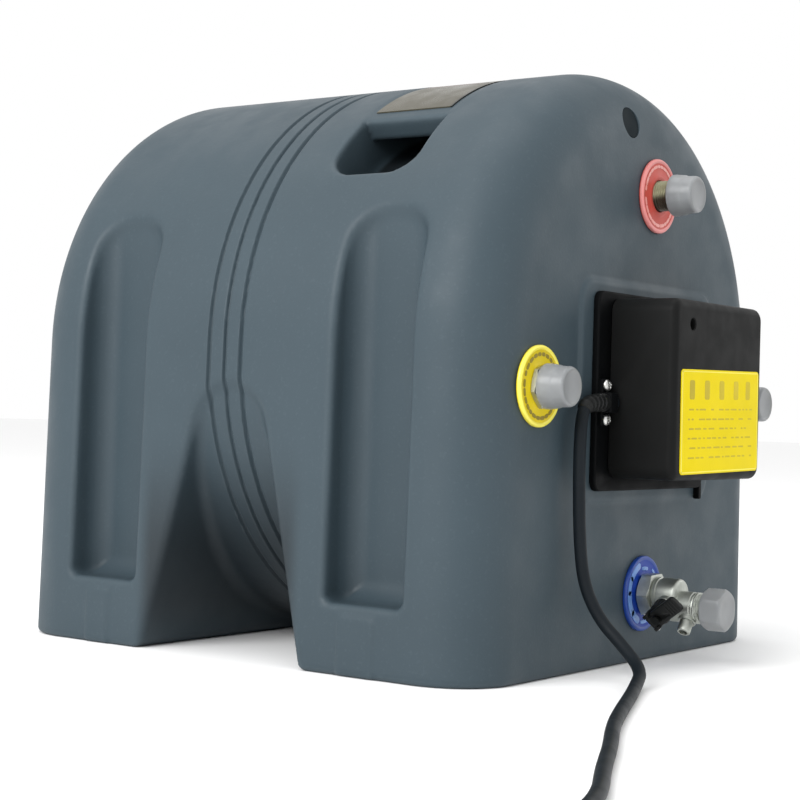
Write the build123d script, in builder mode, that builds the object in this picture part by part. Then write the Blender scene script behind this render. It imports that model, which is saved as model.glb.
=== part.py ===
from build123d import *
import math
import os

os.makedirs("parts", exist_ok=True)

# ---------------------------------------------------------------- dimensions, mm
HEIGHT = 400.0          # floor to top of the arch
ARCH_R = 196.0          # radius of the arch and of the waist
ARCH_Z = HEIGHT - ARCH_R
BASE_HALF = 200.0       # half width at the floor, the flanks flare a little
LENGTH = 391.0          # front face to rear face
YF = -165.0             # plane of the front face; the origin is the middle of the whole length
YR = YF + LENGTH
EDGE_R = 45.0           # soft edge round the front and the rear face
WALL = 5.0              # moulded wall

GAP_FRONT = (132.9, 0.2314)     # inner face of the front foot: distance from the front face at the floor, slope
GAP_REAR = (268.3, -0.2639)
GAP_TOP = 180.0
RECESS_FLOOR = 171.0            # half width at the floor of a side recess
RECESS_FRONT = (54.0, 113.5)
RECESS_REAR = (275.5, 335.5)
RECESS_Z = 44.5
RECESS_TOP = 300.0
GROOVE_Y = 202.6
GROOVE_PITCH = 13.46
GROOVE_W = 2.4
GROOVE_D = 2.4

PADS = ((72.5, 101.6), (296.5, 318.5))
PAD_T, PAD_Z = 1.2, 38.0
FLANK = 0.01944                 # lean of the flank

HANDLE_Y = (86.0, 152.0)
HANDLE_HALF = 54.0              # degrees each side of the top
BRIDGE_HALF = 37.0
BRIDGE_R = (179.5, 195.0)
POCKET_R = 157.0

PORT = {"hot": (15.0, 317.4), "cold": (7.5, 46.4), "left": (-135.7, 183.0), "right": (145.0, 178.0)}
THREAD_R = 10.48                # half-inch pipe thread, 20.955 over the crests
BORE_R = 7.5
ROSETTE_R = 25.5
ROSETTE_T = 3.2

TANK_X, TANK_Z = 6.0, 182.0
TANK_R, TANK_T = 158.0, 1.5
TANK_D0, TANK_D1 = 95.0, 305.0
DOME = 40.0

PLUG_X, PLUG_Z = -21.3, 363.4
PLUG_R = 10.6

BOX_X0, BOX_X1, BOX_Z0, BOX_Z1 = -71.5, 85.0, 117.0, 247.0
BOX_D0, BOX_D1 = -2.0, -6.5
COV_X0, COV_X1, COV_Z0, COV_Z1 = -56.0, 77.0, 125.5, 243.0
COV_D = -53.5
COV_T = 2.5

CORD_D = 8.0
CORD_R = CORD_D / 2


def front(d, x=0.0, z=0.0):
    """Plane parallel to the front face, d behind it. Local x is X, local y is Z, the normal points out of the face."""
    return Plane(origin=(x, YF + d, z), x_dir=(1, 0, 0), z_dir=(0, -1, 0))


def Y(d):
    return YF + d


def edge_plane(x, z):
    """Plane on the rounded front edge at x, z, its normal standing on the surface."""
    r = math.hypot(x, z - ARCH_Z)
    s = (r - (ARCH_R - EDGE_R)) / EDGE_R
    c = math.sqrt(1 - s * s)
    n = (x / r * s, -c, (z - ARCH_Z) / r * s)
    return Plane(origin=(x, YF + EDGE_R * (1 - c), z), x_dir=(1, -n[0] / n[1], 0), z_dir=n)


PLUG_FACE = edge_plane(PLUG_X, PLUG_Z)


def finish(name, part):
    part.label = name
    export_step(part, "parts/" + name + ".step")


# ---------------------------------------------------------------- moulded form
def moulded_form(o, bridge):
    """The outer skin moved inwards by o."""
    ar, bh = ARCH_R - o, BASE_HALF - o
    # tangent point of the flank on the arch
    dx, dz = bh, o - ARCH_Z
    dist = math.hypot(dx, dz)
    ang = math.atan2(dz, dx) + math.acos(ar / dist)
    tx, tz = ar * math.cos(ang), ARCH_Z + ar * math.sin(ang)
    with BuildPart() as form:
        with BuildSketch(front(o)):
            with BuildLine():
                Line((-bh, o), (-tx, tz))
                ThreePointArc((-tx, tz), (0, ARCH_Z + ar), (tx, tz))
                Line((tx, tz), (bh, o))
                Line((bh, o), (-bh, o))
            make_face()
        extrude(amount=-(LENGTH - 2 * o))
        ends = form.faces().filter_by(Axis.Y)
        rims = ends.edges().filter_by(lambda e: e.center().Z > o + 1)
        fillet(rims, EDGE_R - o)

        # the tapering gap between the feet leaves the round belly
        with BuildPart(mode=Mode.PRIVATE) as gap:
            with BuildSketch(Plane.YZ):
                f0 = Y(GAP_FRONT[0] - o)
                r0 = Y(GAP_REAR[0] + o)
                top = GAP_TOP + o
                with BuildLine():
                    Polyline((f0 - GAP_FRONT[1] * 20, -20), (f0 + GAP_FRONT[1] * top, top), (r0 + GAP_REAR[1] * top, top), (r0 - GAP_REAR[1] * 20, -20), close=True)
                make_face()
            extrude(amount=260, both=True)
            fillet(gap.edges().filter_by(Axis.X).group_by(Axis.Z)[-1], 22 + o)
            with BuildSketch(Plane(origin=(0, YF - 10, ARCH_Z), x_dir=(1, 0, 0), z_dir=(0, 1, 0))):
                Circle(ar)
            extrude(amount=LENGTH + 20, mode=Mode.SUBTRACT)
        add(gap.part, mode=Mode.SUBTRACT)

        # side recesses
        for side in (-1, 1):
            for d0, d1 in (RECESS_FRONT, RECESS_REAR):
                with BuildPart(mode=Mode.PRIVATE) as pocket:
                    with BuildSketch(Plane(origin=(side * (RECESS_FLOOR - o), 0, 0), x_dir=(0, 1, 0), z_dir=(1, 0, 0))):
                        with BuildLine():
                            Polyline((Y(d0 - o), RECESS_Z - o), (Y(d0 - o), RECESS_TOP + o), (Y(d1 + o), RECESS_TOP + o), (Y(d1 + o), RECESS_Z - o), close=True)
                        make_face()
                    extrude(amount=side * 60)
                    fillet(pocket.edges().filter_by(Axis.X).group_by(Axis.Z)[-1], 20 + o)
                    inner = pocket.faces().sort_by(Axis.X)[0 if side > 0 else -1]
                    fillet(inner.edges().filter_by(Axis.Z), 9)
                add(pocket.part, mode=Mode.SUBTRACT)

        # carry recess over the top, with its bridge
        a = math.radians(HANDLE_HALF + math.degrees(o / 190))
        b = math.radians(BRIDGE_HALF)
        ri = POCKET_R - o
        with BuildPart(mode=Mode.PRIVATE) as carry:
            with BuildSketch(front(HANDLE_Y[0] - o, 0, ARCH_Z)):
                with BuildLine():
                    ThreePointArc((-ri * math.sin(a), ri * math.cos(a)), (0, ri), (ri * math.sin(a), ri * math.cos(a)))
                    Line((ri * math.sin(a), ri * math.cos(a)), (230 * math.sin(a), 230 * math.cos(a)))
                    ThreePointArc((230 * math.sin(a), 230 * math.cos(a)), (0, 230), (-230 * math.sin(a), 230 * math.cos(a)))
                    Line((-230 * math.sin(a), 230 * math.cos(a)), (-ri * math.sin(a), ri * math.cos(a)))
                make_face()
            extrude(amount=-(HANDLE_Y[1] - HANDLE_Y[0] + 2 * o))
            if bridge:
                q0, q1 = BRIDGE_R
                with BuildSketch(front(HANDLE_Y[0] - 1, 0, ARCH_Z)):
                    with BuildLine():
                        ThreePointArc((-q0 * math.sin(b), q0 * math.cos(b)), (0, q0), (q0 * math.sin(b), q0 * math.cos(b)))
                        Line((q0 * math.sin(b), q0 * math.cos(b)), (q1 * math.sin(b), q1 * math.cos(b)))
                        ThreePointArc((q1 * math.sin(b), q1 * math.cos(b)), (0, q1), (-q1 * math.sin(b), q1 * math.cos(b)))
                        Line((-q1 * math.sin(b), q1 * math.cos(b)), (-q0 * math.sin(b), q0 * math.cos(b)))
                    make_face()
                extrude(amount=-(HANDLE_Y[1] - HANDLE_Y[0] + 2), mode=Mode.SUBTRACT)
            ends = carry.edges().filter_by(lambda e: abs(e.length - (230 - ri)) < 0.5 and e.center().Z < ARCH_Z + 170)
            fillet(ends, 16)
        add(carry.part, mode=Mode.SUBTRACT)
    return form.part


outer_form = moulded_form(0.0, True)
inner_form = moulded_form(WALL, False)

# ---------------------------------------------------------------- casing
with BuildPart() as casing:
    add(outer_form)
    # raised pad under the control box
    with BuildSketch(front(0.5, 8.5, 182.0)):
        RectangleRounded(191, 148, 16)
    extrude(amount=2.5)
    # low raised pads on the outside of the feet
    for side in (-1, 1):
        for d0, d1 in PADS:
            with BuildSketch(front(d0)):
                Polygon((side * (BASE_HALF + PAD_T), 0), (side * (BASE_HALF + PAD_T - PAD_Z * FLANK), PAD_Z), (side * 195.5, PAD_Z), (side * 195.5, 0), align=None)
            extrude(amount=-(d1 - d0))
    add(inner_form, mode=Mode.SUBTRACT)
    # grooves round the waist
    for k in (-1, 0, 1):
        with BuildSketch(Plane(origin=(0, Y(GROOVE_Y + k * GROOVE_PITCH - GROOVE_W / 2), ARCH_Z), x_dir=(1, 0, 0), z_dir=(0, 1, 0))):
            Circle(ARCH_R + 12)
            Circle(ARCH_R - GROOVE_D, mode=Mode.SUBTRACT)
        extrude(amount=GROOVE_W, mode=Mode.SUBTRACT)
    # openings in the front wall
    for name, (px, pz) in PORT.items():
        with BuildSketch(front(10, px, pz)):
            Circle(11.4)
        extrude(amount=20, mode=Mode.SUBTRACT)
    with BuildSketch(front(10, TANK_X, TANK_Z)):
        Circle(60)
    extrude(amount=20, mode=Mode.SUBTRACT)
    with BuildSketch(PLUG_FACE.offset(-12)):
        Circle(9.0)
    extrude(amount=14, mode=Mode.SUBTRACT)
    with BuildSketch(PLUG_FACE.offset(-3)):
        Circle(PLUG_R + 0.1)
    extrude(amount=8, mode=Mode.SUBTRACT)
finish("casing", casing.part)

# ---------------------------------------------------------------- tank
with BuildPart() as tank_shell:
    with BuildSketch(Plane(origin=(TANK_X, Y(TANK_D0), TANK_Z), x_dir=(1, 0, 0), z_dir=(0, 1, 0))):
        Circle(TANK_R)
        Circle(TANK_R - TANK_T, mode=Mode.SUBTRACT)
    extrude(amount=TANK_D1 - TANK_D0)
finish("tank_shell", tank_shell.part)

NECK_R = (48.5, 46.0)


# half section of a dished end, flat over its middle: local x is the radius, local y the rise
POLE = 87.0
pc, ps = math.cos(math.radians(POLE)), math.sin(math.radians(POLE))
with BuildSketch(Plane.XY) as end_skin:
    with BuildLine():
        EllipticalCenterArc((0, 0), TANK_R, DOME, start_angle=0, arc_size=POLE)
        Polyline((TANK_R * pc, DOME * ps), (0, DOME * ps), (0, (DOME - TANK_T) * ps), ((TANK_R - TANK_T) * pc, (DOME - TANK_T) * ps))
        EllipticalCenterArc((0, 0), TANK_R - TANK_T, DOME - TANK_T, start_angle=0, arc_size=POLE)
        Line((TANK_R - TANK_T, 0), (TANK_R, 0))
    make_face()
with BuildSketch(Plane.XY) as end_fill:
    with BuildLine():
        EllipticalCenterArc((0, 0), TANK_R, DOME, start_angle=0, arc_size=POLE)
        Polyline((TANK_R * pc, DOME * ps), (0, DOME * ps), (0, 0), (TANK_R, 0))
    make_face()
FRONT_END = Plane(origin=(TANK_X, Y(TANK_D0), TANK_Z), x_dir=(1, 0, 0), z_dir=(0, 0, -1))
REAR_END = Plane(origin=(TANK_X, Y(TANK_D1), TANK_Z), x_dir=(1, 0, 0), z_dir=(0, 0, 1))
TANK_AXIS = Axis((TANK_X, 0, TANK_Z), (0, 1, 0))
REAR_AXIS = Axis((TANK_X, 0, TANK_Z), (0, -1, 0))

with BuildPart() as tank_front_end:
    with BuildSketch(FRONT_END):
        add(end_skin.sketch_local)
    revolve(axis=TANK_AXIS)
    with BuildSketch(front(90, TANK_X, TANK_Z)):
        Circle(NECK_R[0])
    extrude(amount=60, mode=Mode.SUBTRACT)
    for name, (px, pz) in PORT.items():
        with BuildSketch(front(94, px, pz)):
            Circle(THREAD_R)
        extrude(amount=50, mode=Mode.SUBTRACT)
finish("tank_front_end", tank_front_end.part)

with BuildPart() as tank_rear_end:
    with BuildSketch(REAR_END):
        add(end_skin.sketch_local)
    revolve(axis=REAR_AXIS)
finish("tank_rear_end", tank_rear_end.part)

BOLT_PCD = 104.0
# ---------------------------------------------------------------- foam between casing and tank
with BuildPart() as foam_insulation:
    add(inner_form)
    with BuildSketch(Plane(origin=(TANK_X, Y(TANK_D0), TANK_Z), x_dir=(1, 0, 0), z_dir=(0, 1, 0))):
        Circle(TANK_R)
    extrude(amount=TANK_D1 - TANK_D0, mode=Mode.SUBTRACT)
    for plane, axis in ((FRONT_END, TANK_AXIS), (REAR_END, REAR_AXIS)):
        with BuildSketch(plane):
            add(end_fill.sketch_local)
        revolve(axis=axis, mode=Mode.SUBTRACT)
    # room for the neck, the flange and the four connections
    with BuildSketch(front(80, TANK_X, TANK_Z)):
        Circle(60)
    extrude(amount=76, mode=Mode.SUBTRACT)
    for name, (px, pz) in PORT.items():
        with BuildSketch(front(94, px, pz)):
            Circle(11.4)
        extrude(amount=90, mode=Mode.SUBTRACT)
    with BuildSketch(PLUG_FACE.offset(-22)):
        Circle(9.4)
    extrude(amount=20, mode=Mode.SUBTRACT)
finish("foam_insulation", foam_insulation.part)

# ---------------------------------------------------------------- neck, flange and what it carries
with BuildPart() as tank_flange_neck:
    with BuildSketch(front(60, TANK_X, TANK_Z)):
        Circle(NECK_R[0])
        Circle(NECK_R[1], mode=Mode.SUBTRACT)
    extrude(amount=47)
    with BuildSketch(front(19, TANK_X, TANK_Z)):
        Circle(58)
        Circle(NECK_R[1], mode=Mode.SUBTRACT)
        with PolarLocations(BOLT_PCD / 2, 6):
            Circle(3.0, mode=Mode.SUBTRACT)
    extrude(amount=6)
finish("tank_flange_neck", tank_flange_neck.part)

with BuildPart() as flange_gasket:
    with BuildSketch(front(13, TANK_X, TANK_Z)):
        Circle(57)
        Circle(46, mode=Mode.SUBTRACT)
        with PolarLocations(BOLT_PCD / 2, 6):
            Circle(3.3, mode=Mode.SUBTRACT)
    extrude(amount=2)
finish("flange_gasket", flange_gasket.part)

ELEMENT_PINS = [(TANK_X + ex, TANK_Z + ez) for ez in (-9.0, 9.0) for ex in (-24.0, 24.0)]
WELL = (TANK_X, TANK_Z + 27.0)
with BuildPart() as element_flange:
    with BuildSketch(front(11, TANK_X, TANK_Z)):
        Circle(58)
        with PolarLocations(BOLT_PCD / 2, 6):
            Circle(3.3, mode=Mode.SUBTRACT)
    extrude(amount=5)
    for ex, ez in ELEMENT_PINS:
        with BuildSketch(front(12, ex, ez)):
            Circle(4.25)
        extrude(amount=10, mode=Mode.SUBTRACT)
    with BuildSketch(front(12, WELL[0], WELL[1])):
        Circle(5.0)
    extrude(amount=10, mode=Mode.SUBTRACT)
finish("element_flange", element_flange.part)

with BuildPart() as flange_bolts:
    for k in range(6):
        t = math.radians(60 * k)
        bx, bz = TANK_X + BOLT_PCD / 2 * math.cos(t), TANK_Z + BOLT_PCD / 2 * math.sin(t)
        with BuildSketch(front(6, bx, bz)):
            RegularPolygon(5.0, 6, major_radius=False)
        extrude(amount=4)
        with BuildSketch(front(19, bx, bz)):
            Circle(3.0)
        extrude(amount=13)
finish("flange_bolts", flange_bolts.part)

with BuildPart() as heating_elements:
    for ez in (-9.0, 9.0):
        x0, x1, ze = TANK_X - 24.0, TANK_X + 24.0, TANK_Z + ez
        with BuildLine() as bend:
            FilletPolyline((x0, Y(4), ze), (x0, Y(262 - ez), ze), (x1, Y(262 - ez), ze), (x1, Y(4), ze), radius=16)
        with BuildSketch(Plane(origin=(x0, Y(4), ze), x_dir=(1, 0, 0), z_dir=(0, 1, 0))):
            Circle(4.25)
        sweep(path=bend.wires()[0])
finish("heating_elements", heating_elements.part)

with BuildPart() as element_terminals:
    for ex, ez in ELEMENT_PINS:
        with BuildSketch(front(4, ex, ez)):
            Circle(2.0)
        extrude(amount=17)
        with BuildSketch(front(-7, ex, ez)):
            RegularPolygon(4.0, 6, major_radius=False)
        extrude(amount=3)
finish("element_terminals", element_terminals.part)

with BuildPart() as thermowell:
    with BuildSketch(front(180, WELL[0], WELL[1])):
        Circle(5.0)
    extrude(amount=176)
    with BuildSketch(front(178, WELL[0], WELL[1])):
        Circle(3.6)
    extrude(amount=180, mode=Mode.SUBTRACT)
finish("thermowell", thermowell.part)

with BuildPart() as thermostat_bulb:
    with BuildSketch(front(176, WELL[0], WELL[1])):
        Circle(3.2)
    extrude(amount=85)
    with BuildLine() as capillary:
        FilletPolyline((WELL[0], Y(91), WELL[1]), (WELL[0], Y(-14), WELL[1]), (WELL[0] - 14, Y(-14), WELL[1] + 12), (WELL[0] - 22, Y(-14), WELL[1] + 12), radius=4)
    with BuildSketch(Plane(origin=(WELL[0], Y(91), WELL[1]), x_dir=(1, 0, 0), z_dir=(0, -1, 0))):
        Circle(0.8)
    sweep(path=capillary.wires()[0])
finish("thermostat_bulb", thermostat_bulb.part)

with BuildPart() as heat_exchanger_tube:
    lx, lz = PORT["left"]
    rx, rz = PORT["right"]
    with BuildLine() as passes:
        FilletPolyline(
            (lx, Y(88), lz), (lx, Y(265), lz), (-88, Y(265), 108), (-88, Y(128), 108), (-28, Y(128), 96), (-28, Y(286), 96),
            (38, Y(286), 96), (38, Y(128), 96), (98, Y(128), 106), (98, Y(265), 106), (rx, Y(265), rz), (rx, Y(88), rz), radius=24)
    with BuildSketch(Plane(origin=(lx, Y(88), lz), x_dir=(1, 0, 0), z_dir=(0, 1, 0))):
        Circle(8.0)
        Circle(7.0, mode=Mode.SUBTRACT)
    sweep(path=passes.wires()[0])
finish("heat_exchanger_tube", heat_exchanger_tube.part)

with BuildPart() as cold_diffuser:
    cx, cz = PORT["cold"]
    with BuildSketch(front(168, cx, cz)):
        Circle(9.0)
    extrude(amount=80)
    with BuildSketch(front(166, cx, cz)):
        Circle(BORE_R)
    extrude(amount=80, mode=Mode.SUBTRACT)
    for k in range(4):
        with BuildSketch(Plane(origin=(cx, Y(112 + 15 * k), cz), x_dir=(1, 0, 0), z_dir=(0, 0, 1))):
            Rectangle(24, 4)
        extrude(amount=-12, mode=Mode.SUBTRACT)
finish("cold_diffuser", cold_diffuser.part)

with BuildPart() as hot_pickup_tube:
    hx, hz = PORT["hot"]
    with BuildLine() as rise:
        FilletPolyline((hx, Y(88), hz), (hx, Y(112), hz), (hx, Y(124), hz + 14), radius=10)
    with BuildSketch(Plane(origin=(hx, Y(88), hz), x_dir=(1, 0, 0), z_dir=(0, 1, 0))):
        Circle(9.0)
        Circle(BORE_R, mode=Mode.SUBTRACT)
    sweep(path=rise.wires()[0])
finish("hot_pickup_tube", hot_pickup_tube.part)

# ---------------------------------------------------------------- pipe connections
NIPPLE_END = {"hot": -30.0, "left": -23.0, "right": -25.0, "cold": -12.0}
for name, sides in (("hot", ("hot",)), ("cold", ("cold",)), ("side", ("left", "right"))):
    suffix = "s" if len(sides) > 1 else ""
    with BuildPart() as nipple:
        for port in sides:
            with BuildSketch(front(88, *PORT[port])):
                Circle(THREAD_R)
                Circle(BORE_R, mode=Mode.SUBTRACT)
            extrude(amount=88 - NIPPLE_END[port])
        ends = [Y(NIPPLE_END[port]) for port in sides]
        rims = nipple.edges().filter_by(GeomType.CIRCLE).filter_by(lambda e: abs(e.radius - THREAD_R) < 0.01 and min(abs(e.center().Y - v) for v in ends) < 0.01)
        chamfer(rims, 0.8)
    finish(name + "_nipple" + suffix, nipple.part)

    with BuildPart() as rosette:
        for port in sides:
            with BuildSketch(front(0, *PORT[port])):
                Circle(ROSETTE_R)
                Circle(THREAD_R + 0.3, mode=Mode.SUBTRACT)
            extrude(amount=ROSETTE_T)
        rims = rosette.edges().filter_by(GeomType.CIRCLE).filter_by(lambda e: abs(e.radius - ROSETTE_R) < 0.01).group_by(Axis.Y)[0]
        chamfer(rims, 0.8)
    finish(name + "_rosette" + suffix, rosette.part)

# hex collars on the two side connections
with BuildPart() as side_port_nuts:
    for name in ("left", "right"):
        px, pz = PORT[name]
        with BuildSketch(front(-ROSETTE_T, px, pz)):
            RegularPolygon(12.5, 6, major_radius=False)
            Circle(THREAD_R, mode=Mode.SUBTRACT)
        extrude(amount=3.6)
finish("side_port_nuts", side_port_nuts.part)

CAP_LEN = 18.0
CAP_CLEAR = 0.12
for name in ("hot", "left", "right"):
    px, pz = PORT[name]
    end = NIPPLE_END[name] - 2.0
    with BuildPart() as cap:
        with BuildSketch(front(end + CAP_LEN, px, pz)):
            Circle(14.2)
        extrude(amount=3.0)
        with BuildSketch(front(end + CAP_LEN - 3.0, px, pz)):
            Circle(12.9)
        extrude(amount=CAP_LEN - 3.0)
        chamfer(cap.faces().sort_by(Axis.Y)[0].edges(), 1.6)
        with BuildSketch(front(end + CAP_LEN, px, pz)):
            Circle(THREAD_R + CAP_CLEAR)
        extrude(amount=CAP_LEN - 1.6, mode=Mode.SUBTRACT)
    finish(name + "_cap", cap.part)

# ---------------------------------------------------------------- safety valve on the cold connection
VX, VZ = PORT["cold"]
OUT_Z = VZ - 6.4
VALVE_OUT = -58.0
DIR_R = Vector(-0.87, 0, -0.493).normalized()       # relief branch
DIR_D = Vector(-0.6, 0, -0.8).normalized()          # drain branch
RELIEF_D, DRAIN_D = -25.0, -38.5
DRAIN_SHOULDER, DRAIN_TIP = 11.5, 19.5              # along the drain branch, from the outlet's axis
LEVER_TURN = math.radians(38.0)                     # the lever stands turned up from the line of the body
with BuildPart() as valve_body:
    with BuildSketch(front(-4.2, VX, VZ)):
        RegularPolygon(13.5, 6, major_radius=False)
    extrude(amount=9.0)
    with BuildSketch(front(-13.2, VX, VZ)):
        Circle(12.0)
    extrude(amount=18.0)
    with BuildSketch(front(-24.0, VX, OUT_Z)):
        Circle(THREAD_R)
    extrude(amount=-(VALVE_OUT + 24.0))
    with BuildSketch(Plane(origin=(VX, Y(RELIEF_D), VZ), x_dir=(0, 1, 0), z_dir=(DIR_R.X, 0, DIR_R.Z))):
        Circle(7.0)
    extrude(amount=13.7)
    with BuildSketch(Plane(origin=(VX, Y(DRAIN_D), OUT_Z), x_dir=(0, 1, 0), z_dir=(DIR_D.X, 0, DIR_D.Z))):
        Circle(6.0)
    extrude(amount=DRAIN_SHOULDER)
    with BuildSketch(Plane(origin=(VX, Y(DRAIN_D), OUT_Z), x_dir=(0, 1, 0), z_dir=(DIR_D.X, 0, DIR_D.Z)).offset(DRAIN_SHOULDER)):
        Circle(4.5)
    extrude(amount=DRAIN_TIP - DRAIN_SHOULDER)
    # waterways: socket for the nipple, check chamber, outlet, relief seat, drain
    with BuildSketch(front(-4.2, VX, VZ)):
        Circle(THREAD_R)
    extrude(amount=8.0, mode=Mode.SUBTRACT)
    with BuildSketch(front(-14.2, VX, VZ)):
        Circle(6.5)
    extrude(amount=14.0, mode=Mode.SUBTRACT)
    with BuildSketch(front(-12.0, VX, VZ)):
        Circle(1.8)
        with PolarLocations(4.4, 6):
            Circle(1.3)
    extrude(amount=3.0, mode=Mode.SUBTRACT)
    with BuildSketch(front(-28.2, VX, VZ)):
        Circle(4.5)
    extrude(amount=1.8, mode=Mode.SUBTRACT)
    with BuildSketch(front(-30.0, VX, VZ - 3.2)):
        Circle(6.0)
    extrude(amount=12.0, mode=Mode.SUBTRACT)
    with BuildSketch(front(-38.0, VX, OUT_Z)):
        Circle(6.0)
    extrude(amount=22.0, mode=Mode.SUBTRACT)
    with BuildSketch(Plane(origin=(VX, Y(RELIEF_D), VZ), x_dir=(0, 1, 0), z_dir=(DIR_R.X, 0, DIR_R.Z)).offset(5.0)):
        Circle(2.6)
    extrude(amount=6.0, mode=Mode.SUBTRACT)
    with BuildSketch(Plane(origin=(VX, Y(RELIEF_D), VZ), x_dir=(0, 1, 0), z_dir=(DIR_R.X, 0, DIR_R.Z)).offset(9.5)):
        Circle(5.2)
    extrude(amount=5.0, mode=Mode.SUBTRACT)
    with BuildSketch(Plane(origin=(VX, Y(DRAIN_D), OUT_Z), x_dir=(0, 1, 0), z_dir=(DIR_D.X, 0, DIR_D.Z)).offset(13.0)):
        Circle(2.8)
    extrude(amount=8.0, mode=Mode.SUBTRACT)
finish("valve_body", valve_body.part)


def relief(t):
    """Plane across the relief branch, t from the body's axis. Local x runs along the lever."""
    c, n = math.cos(LEVER_TURN), math.sin(LEVER_TURN)
    return Plane(origin=(VX, Y(RELIEF_D), VZ), x_dir=(DIR_R.Z * n, -c, -DIR_R.X * n), z_dir=(DIR_R.X, 0, DIR_R.Z)).offset(t)


PIN_X, PIN_T = -6.0, 26.0
with BuildPart() as relief_bonnet:
    with BuildSketch(relief(13.7)):
        Circle(7.4)
    extrude(amount=9.5)
    with BuildSketch(relief(20.6)):
        with Locations((-3.2, 0)):
            RectangleRounded(10.4, 13.4, 2.0)
    extrude(amount=2.6)
    with BuildSketch(relief(13.7)):
        Circle(5.2)
    extrude(amount=7.3, mode=Mode.SUBTRACT)
    with BuildSketch(relief(20.5)):
        Circle(1.45)
    extrude(amount=4.0, mode=Mode.SUBTRACT)
    # two ears that hold the lever pin
    for s in (-1, 1):
        with BuildSketch(relief(22.7)):
            with Locations((PIN_X, s * 5.4)):
                Rectangle(4.4, 2.6)
        extrude(amount=5.5)
    with BuildSketch(Plane(origin=relief(PIN_T).from_local_coords(Vector(PIN_X, -8, 0)), x_dir=relief(0).x_dir, z_dir=relief(0).y_dir)):
        Circle(1.0)
    extrude(amount=16.0, mode=Mode.SUBTRACT)
finish("relief_bonnet", relief_bonnet.part)

LEVER_PIVOT = relief(PIN_T).from_local_coords(Vector(PIN_X, 0, 0))
with BuildPart() as lever_pin:
    with BuildSketch(Plane(origin=relief(PIN_T).from_local_coords(Vector(PIN_X, -7.2, 0)), x_dir=relief(0).x_dir, z_dir=relief(0).y_dir)):
        Circle(1.0)
    extrude(amount=14.4)
finish("lever_pin", lever_pin.part)

with BuildPart() as relief_lever:
    with BuildSketch(relief(24.6)):
        with Locations((6.5, 0)):
            RectangleRounded(29.0, 8.0, 2.5)
        with Locations((10.5, 0)):
            RectangleRounded(25.0, 11.4, 3.0)
    extrude(amount=2.9)
    with BuildSketch(Plane(origin=relief(PIN_T).from_local_coords(Vector(PIN_X, -3.9, 0)), x_dir=relief(0).x_dir, z_dir=relief(0).y_dir)):
        Circle(2.3)
    extrude(amount=7.8)
    with BuildSketch(Plane(origin=relief(PIN_T).from_local_coords(Vector(PIN_X, -6, 0)), x_dir=relief(0).x_dir, z_dir=relief(0).y_dir)):
        Circle(1.05)
    extrude(amount=12.0, mode=Mode.SUBTRACT)
    with BuildSketch(relief(23.2)):
        SlotOverall(6.2, 3.8)
    extrude(amount=6.0, mode=Mode.SUBTRACT)
finish("relief_lever", relief_lever.part)

with BuildPart() as relief_spindle:
    with BuildSketch(relief(9.55)):
        Circle(4.6)
    extrude(amount=2.4)
    with BuildSketch(relief(11.0)):
        Circle(1.4)
    extrude(amount=17.8)
    with BuildSketch(relief(28.6)):
        Circle(3.2)
    extrude(amount=1.6)
finish("relief_spindle", relief_spindle.part)

with BuildPart() as relief_spring:
    # closed sleeve of the coil's envelope
    with BuildSketch(relief(12.1)):
        Circle(4.4)
        Circle(3.0, mode=Mode.SUBTRACT)
    extrude(amount=8.7)
finish("relief_spring", relief_spring.part)
print("lever pivot", LEVER_PIVOT, "hinge axis", relief(0).y_dir * -1)

with BuildPart() as check_poppet:
    with BuildSketch(front(-26.2, VX, VZ)):
        Circle(5.6)
    extrude(amount=1.95)
    # three-sided guide that leaves the water room to pass
    with BuildSketch(front(-22.2, VX, VZ)):
        Circle(6.43)
        RegularPolygon(8.4, 3, mode=Mode.INTERSECT)
    extrude(amount=4.0)
    with BuildSketch(front(-18.0, VX, VZ)):
        Circle(1.5)
    extrude(amount=4.2)
    with BuildSketch(front(-28.15, VX, VZ)):
        Circle(3.9)
    extrude(amount=1.6)
finish("check_poppet", check_poppet.part)

with BuildPart() as check_spring:
    # closed sleeve of the coil's envelope
    with BuildSketch(front(-14.25, VX, VZ)):
        Circle(3.9)
        Circle(2.9, mode=Mode.SUBTRACT)
    extrude(amount=7.9)
finish("check_spring", check_spring.part)

BIG_CAP = (-49.6, -64.3)
with BuildPart() as cold_cap:
    with BuildSketch(front(BIG_CAP[0], VX, OUT_Z)):
        RegularPolygon(12.6, 6, major_radius=False, rotation=30)
    extrude(amount=BIG_CAP[0] - BIG_CAP[1])
    with BuildPart(mode=Mode.PRIVATE) as turned:
        with BuildSketch(front(BIG_CAP[0], VX, OUT_Z)):
            Circle(14.1)
        extrude(amount=BIG_CAP[0] - BIG_CAP[1])
        chamfer(turned.edges(), 1.4)
    add(turned.part, mode=Mode.INTERSECT)
    with BuildSketch(front(BIG_CAP[0], VX, OUT_Z)):
        Circle(THREAD_R + CAP_CLEAR)
    extrude(amount=BIG_CAP[0] - BIG_CAP[1] - 2.0, mode=Mode.SUBTRACT)
finish("cold_cap", cold_cap.part)

# ---------------------------------------------------------------- plug in the foam filling port
with BuildPart() as foam_port_plug:
    with BuildSketch(PLUG_FACE.offset(-3)):
        Circle(PLUG_R)
    extrude(amount=2.0)
    chamfer(foam_port_plug.faces().sort_by(Axis.Y)[0].edges(), 0.6)
    with BuildSketch(PLUG_FACE.offset(-18)):
        Circle(8.9)
        Circle(6.9, mode=Mode.SUBTRACT)
    extrude(amount=15.0)
finish("foam_port_plug", foam_port_plug.part)

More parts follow.
